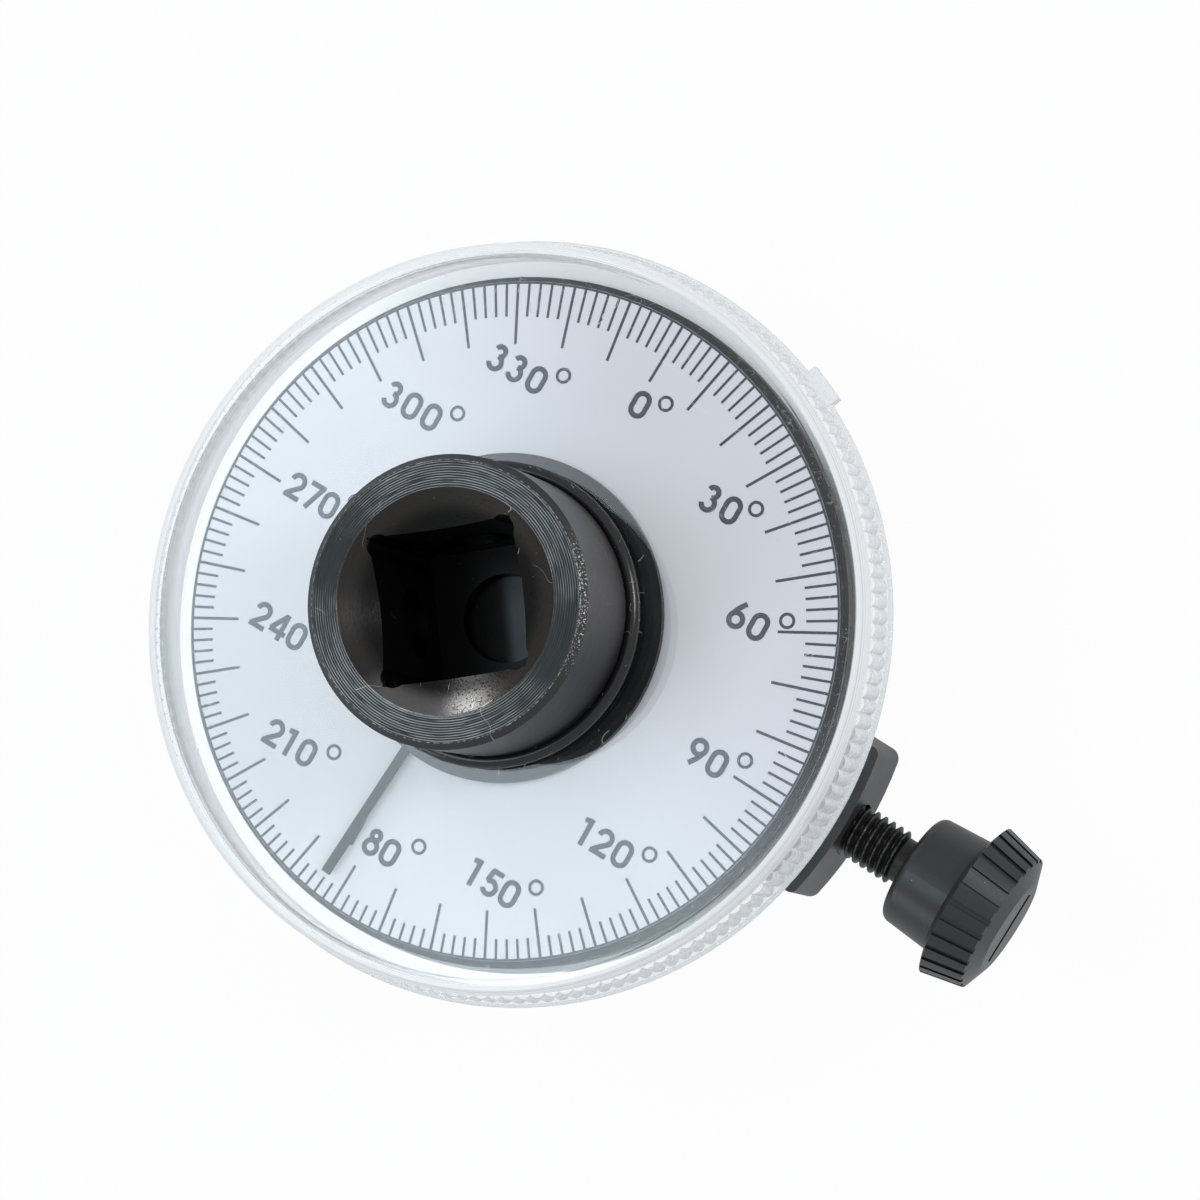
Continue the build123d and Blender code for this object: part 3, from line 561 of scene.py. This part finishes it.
# Degree ticks: screen-printed on the dial in slate-blue ink, one to every two degrees
# and a long one to every ten, with a fine line round the edge. The nought stands at the
# upper right.
dial_turn = radians(-37.6)
print_centre = (-0.08, -0.75)
ink_thickness = 0.02
tick_count = 180
ticks_to_a_long_one = 5
ticks_past_a_long_one = 1
tick_edge = dial_radius - 0.02
long_tick = (25.2, 0.25)
short_tick = (27.7, 0.225)
edge_line_width = 0.2

slate_ink, tree, place = new_finish("slate_ink")
thin_spots = step(tree, grain(tree, place, 6.0, 4.0), 0.56, 0.74)
ink_color = blend(tree, grain(tree, place, 0.8), (0.034, 0.045, 0.067), (0.052, 0.064, 0.089))
ink_color = blend(tree, calc(tree, "MULTIPLY", thin_spots, 0.22), ink_color, (0.36, 0.40, 0.45))
surface(slate_ink, ink_color, 0.6, thin_spots, 0.004, specular_ior_level=0.08)


def new_geometry_tree(name, sizes, takes_geometry=False):
    """A Geometry Nodes tree with named number inputs, and its input and output nodes."""
    tree = bpy.data.node_groups.new(name, "GeometryNodeTree")
    if takes_geometry:
        tree.interface.new_socket("Geometry", in_out="INPUT", socket_type="NodeSocketGeometry")
    for size, kind in sizes.items():
        tree.interface.new_socket(size, in_out="INPUT", socket_type=kind)
    tree.interface.new_socket("Material", in_out="INPUT", socket_type="NodeSocketMaterial")
    tree.interface.new_socket("Geometry", in_out="OUTPUT", socket_type="NodeSocketGeometry")
    return tree, tree.nodes.new("NodeGroupInput").outputs


def close_geometry_tree(tree, geometry, material):
    """Ends a tree in real geometry with its material set."""
    real = add_node(tree, "GeometryNodeRealizeInstances", {0: geometry})
    painted = add_node(tree, "GeometryNodeSetMaterial", {"Geometry": real.outputs[0], "Material": material})
    add_node(tree, "NodeGroupOutput", {"Geometry": painted.outputs[0]})


def run_geometry_tree(tree, source, values):
    """The plain mesh that a tree makes of a source object with these input values."""
    modifier = source.modifiers.new(tree.name, "NODES")
    modifier.node_group = tree
    for socket in tree.interface.items_tree:
        if socket.in_out == "INPUT" and socket.name in values:
            modifier[socket.identifier] = values[socket.name]
    bpy.context.scene.collection.objects.link(source)
    evaluated = source.evaluated_get(bpy.context.evaluated_depsgraph_get())
    mesh = bpy.data.meshes.new_from_object(evaluated)
    bpy.data.objects.remove(source)
    return mesh


def dot(tree, first, second):
    """The scalar product of two vectors."""
    inputs = {0: first, 1: second}
    return add_node(tree, "ShaderNodeVectorMath", inputs, operation="DOT_PRODUCT").outputs["Value"]


def tick_bars(tree, given, chosen, start, width):
    """Flat bars from a circle round the print's centre out to the dial's edge, at the chosen ticks."""
    circle = add_node(tree, "GeometryNodeMeshCircle", {"Vertices": given["Count"], "Radius": start})
    centre = add_node(tree, "ShaderNodeCombineXYZ", {0: given["Centre X"], 1: given["Centre Y"]}).outputs[0]
    place = add_node(tree, "GeometryNodeInputPosition").outputs[0]
    outward = add_node(tree, "ShaderNodeVectorMath", {0: place}, operation="NORMALIZE").outputs[0]
    heading = add_node(tree, "FunctionNodeAlignRotationToVector", {"Vector": outward}, axis="X").outputs[0]
    along = dot(tree, centre, outward)
    off_centre = calc(tree, "MULTIPLY", dot(tree, centre, centre), -1.0)
    reach = calc(tree, "MULTIPLY_ADD", given["Edge"], given["Edge"], off_centre)
    reach = calc(tree, "SQRT", calc(tree, "MULTIPLY_ADD", along, along, reach))
    length = calc(tree, "SUBTRACT", calc(tree, "SUBTRACT", reach, along), start)
    size = add_node(tree, "ShaderNodeCombineXYZ", {0: length, 1: width, 2: given["Thickness"]}).outputs[0]
    bar = add_node(tree, "GeometryNodeMeshCube", {"Size": (1, 1, 1)}).outputs["Mesh"]
    bar = add_node(tree, "GeometryNodeTransform", {"Geometry": bar, "Translation": (0.5, 0, 0.5)}).outputs[0]
    inputs = {"Points": circle.outputs["Mesh"], "Selection": chosen, "Instance": bar}
    inputs.update({"Rotation": heading, "Scale": size})
    return add_node(tree, "GeometryNodeInstanceOnPoints", inputs).outputs[0]


def place_on_dial(mesh, name):
    """Sets a print from the dial's own frame onto the dial, as a piece that turns with it."""
    lift = Matrix.Translation((0, 0, dial_face * MM))
    mesh.transform(lift @ Matrix.Rotation(dial_turn, 4, "Z"))
    piece = bpy.data.objects.new(name, mesh)
    bpy.context.scene.collection.objects.link(piece)
    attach(piece, "dial")


tick_sizes = {
    "Count": "NodeSocketInt",
    "Ticks to a Long One": "NodeSocketInt",
    "Ticks past a Long One": "NodeSocketInt",
    "Centre X": "NodeSocketFloat",
    "Centre Y": "NodeSocketFloat",
    "Edge": "NodeSocketFloat",
    "Long Start": "NodeSocketFloat",
    "Long Width": "NodeSocketFloat",
    "Short Start": "NodeSocketFloat",
    "Short Width": "NodeSocketFloat",
    "Edge Line Width": "NodeSocketFloat",
    "Thickness": "NodeSocketFloat",
}
tree, given = new_geometry_tree("tick_circle", tick_sizes)
index = add_node(tree, "GeometryNodeInputIndex").outputs[0]
counted = calc(tree, "ADD", index, given["Ticks past a Long One"])
left_over = calc(tree, "MODULO", counted, given["Ticks to a Long One"])
is_long = calc(tree, "LESS_THAN", left_over, 0.5)
is_short = calc(tree, "GREATER_THAN", left_over, 0.5)
long_bars = tick_bars(tree, given, is_long, given["Long Start"], given["Long Width"])
short_bars = tick_bars(tree, given, is_short, given["Short Start"], given["Short Width"])
line_radius = calc(tree, "MULTIPLY_ADD", given["Edge Line Width"], -0.5, given["Edge"])
circle = {"Resolution": given["Count"], "Radius": line_radius}
line = add_node(tree, "GeometryNodeCurvePrimitiveCircle", circle)
line = add_node(tree, "GeometryNodeSetCurveNormal", {"Curve": line.outputs["Curve"]}, mode="Z_UP")
section = {"Width": given["Edge Line Width"], "Height": given["Thickness"]}
section = add_node(tree, "GeometryNodeCurvePrimitiveQuadrilateral", section).outputs[0]
line = add_node(tree, "GeometryNodeCurveToMesh", {"Curve": line.outputs[0], "Profile Curve": section})
to_dial = [calc(tree, "MULTIPLY", given["Centre " + way], -1.0) for way in "XY"]
to_dial.append(calc(tree, "MULTIPLY", given["Thickness"], 0.4))
to_dial = add_node(tree, "ShaderNodeCombineXYZ", dict(enumerate(to_dial))).outputs[0]
line = add_node(tree, "GeometryNodeTransform", {"Geometry": line.outputs[0], "Translation": to_dial})
joined = add_node(tree, "GeometryNodeJoinGeometry", {0: long_bars})
tree.links.new(short_bars, joined.inputs[0])
tree.links.new(line.outputs[0], joined.inputs[0])
close_geometry_tree(tree, joined.outputs[0], given["Material"])
tick_values = {
    "Count": tick_count,
    "Ticks to a Long One": ticks_to_a_long_one,
    "Ticks past a Long One": ticks_past_a_long_one,
    "Centre X": print_centre[0] * MM,
    "Centre Y": print_centre[1] * MM,
    "Edge": tick_edge * MM,
    "Long Start": long_tick[0] * MM,
    "Long Width": long_tick[1] * MM,
    "Short Start": short_tick[0] * MM,
    "Short Width": short_tick[1] * MM,
    "Edge Line Width": edge_line_width * MM,
    "Thickness": ink_thickness * MM,
    "Material": slate_ink,
}
ticks_source = bpy.data.objects.new("tick_circle", bpy.data.meshes.new("tick_circle"))
ticks_mesh = run_geometry_tree(tree, ticks_source, tick_values)
ticks_mesh.transform(Matrix.Translation(Vector((*print_centre, 0)) * MM))
place_on_dial(ticks_mesh, "dial_ticks")


# Dial numbers: printed with the ticks, one to every thirty degrees, all upright when
# the nought is at the top. The figures are bold, even strokes with round bowls.
stroke_width = 0.47
figure_height = 2.55
bar_height = figure_height - stroke_width / 2
stroke_lift = 0.0015
lift_levels = 4
degrees_to_a_point = 12
closing_gap = 0.01


def bow(centre_x, centre_y, radius, start, end):
    """Points along an arc between two angles, in degrees anticlockwise from the right."""
    steps = max(2, round(abs(end - start) / degrees_to_a_point))
    angles = [radians(start + (end - start) * count / steps) for count in range(steps + 1)]
    return [(centre_x + radius * cos(angle), centre_y + radius * sin(angle)) for angle in angles]


four = [[(1.18, 2.40), (0.16, 0.76)], [(0.04, 0.72), (1.78, 0.72)], [(1.24, 0.0), (1.24, figure_height)]]
five = [[(0.44, bar_height), (1.58, bar_height)], [(0.55, 2.40), (0.38, 1.26)]]
five += [bow(0.84, 0.82, 0.61, 140, -155)]
six = [bow(0.86, 0.84, 0.62, 150, 510), [(0.33, 1.14), (0.62, 1.80), (1.12, 2.50)]]
nine = [[(1.72 - px, figure_height - py) for px, py in stroke] for stroke in six]
figures = {
    "0": (2.15, [bow(0.86, 1.69, 0.64, 0, 180) + bow(0.86, 0.86, 0.64, 180, 360) + [(1.50, 1.69)]]),
    "1": (1.63, [[(0.70, 0.0), (0.70, figure_height)], [(0.06, 2.22), (0.70, bar_height)]]),
    "2": (2.00, [bow(0.84, 1.69, 0.62, 178, -38) + [(0.30, 0.36)], [(0.02, 0.22), (1.66, 0.22)]]),
    "3": (2.10, [bow(0.80, 1.87, 0.47, 165, -90), bow(0.80, 0.82, 0.60, 90, -165)]),
    "4": (1.95, four),
    "5": (1.90, five),
    "6": (2.07, six),
    "7": (1.70, [[(0.03, bar_height), (1.60, bar_height)], [(1.40, 2.36), (0.50, 0.0)]]),
    "8": (1.88, [bow(0.86, 1.91, 0.42, 90, 450), bow(0.86, 0.82, 0.60, 90, 450)]),
    "9": (2.05, nine),
}
degree_radius = 0.59
degree_stroke = 0.27
number_places = {
    0: (0.25, 21.00, 0.75, 2.46),
    30: (10.18, 16.90, 0.62, 2.47),
    60: (17.50, 9.33, 0.70, 2.98),
    90: (20.38, -2.70, 0.74, 2.75),
    120: (15.42, -13.76, 0.86, 2.50),
    150: (8.40, -22.00, 0.54, 3.01),
    180: (-3.08, -24.58, 0.78, 3.13),
    210: (-14.75, -20.95, 0.98, 2.64),
    240: (-21.35, -12.45, 0.74, 2.75),
    270: (-24.55, -0.75, 0.74, 2.75),
    300: (-20.63, 10.80, 0.74, 2.75),
    330: (-13.55, 18.38, 0.74, 2.79),
}
strokes = []
for number, (left, baseline, degree_after, degree_above) in number_places.items():
    for figure in str(number):
        advance, shapes = figures[figure]
        strokes += [([(left + px, baseline + py) for px, py in shape], 1.0) for shape in shapes]
        left += advance
    ring = bow(left + degree_after, baseline + degree_above, degree_radius, 0, 360)
    strokes.append((ring, degree_stroke / stroke_width))

numbers_curve = bpy.data.curves.new("number_strokes", "CURVE")
numbers_curve.dimensions = "3D"
for order, (points, weight) in enumerate(strokes):
    spline = numbers_curve.splines.new("POLY")
    closed = (Vector(points[0]) - Vector(points[-1])).length < closing_gap
    kept_points = points[:-1] if closed else points
    spline.points.add(len(kept_points) - 1)
    lift = (order % lift_levels) * stroke_lift
    for point, (px, py) in zip(spline.points, kept_points):
        point.co = (px * MM, py * MM, lift * MM, 1)
        point.radius = weight
    spline.use_cyclic_u = closed

stroke_sizes = {"Width": "NodeSocketFloat", "Thickness": "NodeSocketFloat"}
tree, given = new_geometry_tree("printed_strokes", stroke_sizes, takes_geometry=True)
level = add_node(tree, "GeometryNodeSetCurveNormal", {"Curve": given["Geometry"]}, mode="Z_UP").outputs[0]
section = {"Width": given["Width"], "Height": given["Thickness"]}
section = add_node(tree, "GeometryNodeCurvePrimitiveQuadrilateral", section).outputs[0]
weight = add_node(tree, "GeometryNodeInputRadius").outputs[0]
inputs = {"Curve": level, "Profile Curve": section, "Scale": weight, "Fill Caps": True}
solid = add_node(tree, "GeometryNodeCurveToMesh", inputs)
close_geometry_tree(tree, solid.outputs[0], given["Material"])
stroke_values = {"Width": stroke_width * MM, "Thickness": ink_thickness * MM, "Material": slate_ink}
numbers_mesh = run_geometry_tree(tree, bpy.data.objects.new("number_strokes", numbers_curve), stroke_values)
numbers_mesh.transform(Matrix.Translation((0, 0, ink_thickness / 2 * MM)))
place_on_dial(numbers_mesh, "dial_numbers")


# Pointer disc: black moulded plastic, pressed on the drive body under the window, so
# that it shows the drive's turn. Its top is smooth and has caught some dust.
disc_plastic, tree, place = new_finish("disc_plastic")
lint = fibres(tree, place, 0.30, 0.006, 0.62)
dust = specks(tree, place, 0.9, 0.06, 0.80)
color = blend(tree, grain(tree, place, 0.6), (0.006, 0.006, 0.007), (0.012, 0.013, 0.014))
color = blend(tree, dust, color, (0.40, 0.34, 0.25))
color = blend(tree, lint, color, (0.42, 0.42, 0.41))
roughness = calc(tree, "MULTIPLY_ADD", grain(tree, place, 0.8), 0.06, 0.22)
surface(disc_plastic, color, roughness, lint, 0.004, specular_ior_level=0.12)
dress("pointer_disc", disc_plastic)


# Pointer: a strip of dark tempered steel set in the disc's rim, with a square end that
# runs just over the ticks.
pointer_tip_angle = -133.5
pointer_skew = 1.85
tempered_steel, tree, place = new_finish("tempered_steel")
aligned = {"Vector": place, "Rotation": (0, 0, -radians(pointer_tip_angle + pointer_skew))}
aligned = add_node(tree, "ShaderNodeMapping", aligned).outputs[0]
rolled = grain(tree, aligned, 4.0, 3.0, (0.2, 3.0, 1.0))
color = blend(tree, rolled, (0.004, 0.005, 0.006), (0.012, 0.013, 0.015))
roughness = calc(tree, "MULTIPLY_ADD", rolled, 0.2, 0.36)
surface(tempered_steel, color, roughness, rolled, 0.004, metallic=0.3, specular_ior_level=0.1)
dress("pointer", tempered_steel)


# Seal ring: a round nitrile rubber ring, stretched into the groove under the head and
# running on the window, oiled and so glossy.
rubber, tree, place = new_finish("nitrile_rubber")
lint = fibres(tree, place, 0.5, 0.008, 0.60)
dust = specks(tree, place, 2.2, 0.07, 0.70)
skin = grain(tree, place, 3.0, 3.0)
color = blend(tree, grain(tree, place, 0.6), (0.007, 0.007, 0.008), (0.013, 0.013, 0.014))
color = blend(tree, calc(tree, "MAXIMUM", lint, dust), color, (0.30, 0.30, 0.29))
surface(rubber, color, calc(tree, "MULTIPLY_ADD", skin, 0.16, 0.12), skin, 0.006)
dress("seal_ring", rubber)


# Dial cover: one moulding in clear acrylic. The window is polished, the wall round it
# keeps the fine rings of a turned mould, and the ridges below, worn dull by handling,
# give the fingers a grip.
window_front = 19.025
window_edge = 31.725
step_outside = 31.9
bezel_inside = 32.375
room_inside = 32.55
seat_inside = 30.95
seat_top = 12.75
ridge_bottom = 13.85
ridge_top = 16.95
ridge_roots = 33.05
flange_reach = 33.3
acrylic_index = 1.49
haze_lets_through = 0.2
step_lets_through = 0.85
clear_acrylic, tree, place = new_finish("clear_acrylic")
x, y, z, reach = split(tree, place)
on_wall = both(tree, above(tree, reach, bezel_inside, 0.075), above(tree, z, ridge_top))
beside_ridges = both(tree, above(tree, z, ridge_bottom), below(tree, z, ridge_top))
on_ridges = both(tree, above(tree, reach, ridge_roots, 0.15), beside_ridges)
on_flange = both(tree, above(tree, reach, flange_reach, 0.1), below(tree, z, ridge_bottom))
on_seat = both(tree, above(tree, reach, seat_inside), below(tree, reach, room_inside))
on_seat = both(tree, on_seat, below(tree, z, seat_top))
inside_wall = below(tree, apart(tree, reach, room_inside), 0.075, 0.025)
in_front = above(tree, z, window_front, 0.025)
past_dial = both(tree, above(tree, reach, dial_radius), below(tree, reach, window_edge, 0.025), in_front)
at_step = above(tree, reach, window_edge + 0.025, 0.01)
at_step = both(tree, at_step, below(tree, reach, step_outside, 0.01), in_front)

motes = calc(tree, "MAXIMUM", specks(tree, place, 2.6, 0.12, 0.60), specks(tree, place, 1.2, 0.08, 0.45))
# The seat's haze grows towards the upper right: partly frosting, and partly painted light that makes that
# side of the seat brighter than its lower side.
to_painted_light = calc(tree, "DIVIDE", calc(tree, "MULTIPLY_ADD", x, 0.45, calc(tree, "MULTIPLY", y, 0.9)), reach)
frost_and_painted_light = step(tree, to_painted_light, 0.62, 0.92)
lines = calc(tree, "MAXIMUM", waves(tree, reach, 0.17), waves(tree, z, 0.22))
lines = both(tree, lines, on_wall)
scratches = fibres(tree, place, 0.5, 0.004, 0.55)
clouds = grain(tree, place, 0.6, 3.0)
outside = both(tree, step(tree, reach, 32.9, 33.5), step(tree, z, 17.4, 16.8))
rubbed = both(tree, grain(tree, place, 1.4, 4.0), outside)
height = calc(tree, "MULTIPLY_ADD", lines, 0.6, calc(tree, "MULTIPLY", scratches, -0.5))
height = calc(tree, "MULTIPLY_ADD", rubbed, 1.0, height)
bump = add_node(tree, "ShaderNodeBump", {"Height": height, "Distance": 0.006 * MM}).outputs[0]
roughness = calc(tree, "MULTIPLY_ADD", rubbed, 0.45, 0.02)
roughness = calc(tree, "MULTIPLY_ADD", scratches, 0.2, roughness)
tint = blend(tree, rubbed, (0.985, 0.992, 1.0), (0.95, 0.965, 0.975))
inputs = {"Base Color": tint, "Roughness": roughness, "Normal": bump}
inputs.update({"IOR": acrylic_index, "Transmission Weight": 1.0})
glass = add_node(tree, "ShaderNodeBsdfPrincipled", inputs).outputs[0]

haze_color = (0.955, 0.965, 0.975, 1)
inputs = {"Base Color": haze_color, "Roughness": 0.3, "Normal": bump}
haze = add_node(tree, "ShaderNodeBsdfPrincipled", inputs).outputs[0]
through = add_node(tree, "ShaderNodeBsdfTranslucent", {"Color": haze_color}).outputs[0]
haze = add_node(tree, "ShaderNodeMixShader", {0: haze_lets_through, 1: haze, 2: through}).outputs[0]
hazed = 0.0
for zone, least, pattern, more in (
    (on_wall, 0.76, lines, 0.22),
    (on_ridges, 0.66, clouds, 0.30),
    (on_flange, 0.55, clouds, 0.25),
    (on_seat, 0.15, frost_and_painted_light, 0.72),
    (inside_wall, 0.28, clouds, 0.20),
    (past_dial, 0.0, motes, 0.75),
):
    share = calc(tree, "MULTIPLY", zone, calc(tree, "MULTIPLY_ADD", pattern, more, least))
    hazed = calc(tree, "MAXIMUM", hazed, share)
plastic = add_node(tree, "ShaderNodeMixShader", {0: hazed, 1: glass, 2: haze}).outputs[0]
pass_light = add_node(tree, "ShaderNodeBsdfTransparent", {"Color": (0.965, 0.975, 0.98, 1)}).outputs[0]
path = add_node(tree, "ShaderNodeLightPath")
passing = calc(tree, "MAXIMUM", path.outputs["Is Shadow Ray"], path.outputs["Is Diffuse Ray"])
passing = calc(tree, "MAXIMUM", passing, calc(tree, "MULTIPLY", at_step, step_lets_through))
mixed = add_node(tree, "ShaderNodeMixShader", {0: passing, 1: plastic, 2: pass_light})
add_node(tree, "ShaderNodeOutputMaterial", {"Surface": mixed.outputs[0]})
dress("dial_cover", clear_acrylic)


# Clamp stud: an M5 screw with a rolled thread, blackened, moulded into the knob. Its
# tip is drilled for the brass pad, and a plain neck ends the thread by the knob.
clamp_angle = radians(-39.2)
clamp_way = Vector((cos(clamp_angle), sin(clamp_angle), 0))
clamp_across = Vector((-sin(clamp_angle), cos(clamp_angle), 0))
screw_height = 7.25
stud_start = 32.1
knob_start = 40.95
stud_end = 47.95
stud_radius = 2.5
thread_pitch = 0.8
thread_depth = 0.48
thread_sides = 48
rings_to_a_turn = 10
neck_start = knob_start - 1.3
neck_radius = 2.05
pad_hole_radius = 1.55
pad_hole_depth = 1.65
tip_bevel = 0.35
root_flat = 0.08
flank_share = 0.74
axis_gap = 0.0005


def thread_radius(along, turn):
    """The screw's radius at a distance from the drive axis and a share of a turn."""
    phase = (along / thread_pitch - turn) % 1
    flank = abs(phase - 0.5) * 2
    crest = min(1.0, max(0.0, (flank - root_flat) / flank_share))
    return min(stud_radius - thread_depth * (1 - crest), stud_radius - tip_bevel + (along - stud_start))


thread_rings = whole((neck_start - stud_start) / thread_pitch * rings_to_a_turn)
profile = [(stud_start + pad_hole_depth, 0.0), (stud_start + pad_hole_depth, pad_hole_radius)]
profile += [(stud_start, pad_hole_radius)]
threaded = [stud_start + thread_pitch / rings_to_a_turn * ring for ring in range(thread_rings + 1)]
profile += [(along, None) for along in threaded]
profile += [(neck_start, neck_radius), (knob_start, neck_radius), (knob_start, stud_radius)]
profile += [(stud_end, stud_radius), (stud_end, 0.0)]
stud_points = []
for along, radius in profile:
    for side in range(thread_sides):
        turn = side / thread_sides
        out = thread_radius(along, turn) if radius is None else max(radius, axis_gap)
        angle = 2 * pi * turn
        point = clamp_way * along + clamp_across * (out * cos(angle))
        stud_points.append((point + Vector((0, 0, screw_height + out * sin(angle)))) * MM)
stud_faces = []
for ring in range(len(profile) - 1):
    for side in range(thread_sides):
        after = (side + 1) % thread_sides
        near, far = ring * thread_sides, (ring + 1) * thread_sides
        stud_faces.append((near + side, near + after, far + after, far + side))
stud_mesh = bpy.data.meshes.new("clamp_stud_thread")
stud_mesh.from_pydata(stud_points, [], stud_faces)
stud_mesh.update()
stud = bpy.data.objects.new("clamp_stud_thread", stud_mesh)
bpy.context.scene.collection.objects.link(stud)

blacked_thread, tree, place = new_finish("blacked_thread")
centred = {"Vector": place, "Rotation": (0, 0, -clamp_angle), "Location": (0, 0, -screw_height)}
centred = add_node(tree, "ShaderNodeMapping", centred).outputs[0]
parts = add_node(tree, "ShaderNodeSeparateXYZ", {0: centred}).outputs
squared = calc(tree, "MULTIPLY_ADD", parts[1], parts[1], calc(tree, "MULTIPLY", parts[2], parts[2]))
from_screw = calc(tree, "SQRT", squared)
crests = above(tree, from_screw, stud_radius - 0.075, 0.065)
oil = grain(tree, place, 1.6, 4.0)
color = blend(tree, oil, (0.014, 0.014, 0.014), (0.032, 0.031, 0.030))
# The lighter thread crests are partly worn blacking and partly a painted highlight.
rubbed = both(tree, crests, step(tree, grain(tree, place, 4.0), 0.45, 0.62))
color = blend(tree, rubbed, color, (0.075, 0.072, 0.066))
roughness = calc(tree, "MULTIPLY_ADD", oil, 0.25, 0.26)
surface(blacked_thread, color, roughness, grain(tree, place, 7.0), 0.008, metallic=0.6)
stud_mesh.materials.append(blacked_thread)
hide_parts("clamp_stud")
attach(stud, "knob")


# Clamp pad: a turned brass button in the stud's tip. It bears on the stop rod, and the
# stud turns round it.
brass, tree, place = new_finish("turned_brass")
tarnish = grain(tree, place, 1.2, 4.0)
color = blend(tree, tarnish, (0.62, 0.43, 0.16), (0.42, 0.28, 0.10))
surface(brass, color, calc(tree, "MULTIPLY_ADD", tarnish, 0.22, 0.20), tarnish, 0.006, metallic=1.0)
dress("clamp_pad", brass)


# Clamp knob: moulded in black nylon round the stud's end, with a ribbed head for the
# fingers and a slot across it for a coin or a screwdriver.
knob_nylon = moulded_black("knob_nylon", (0.012, 0.014, 0.015), (0.022, 0.025, 0.027), 0.32, 0.005)
dress("clamp_knob", knob_nylon)
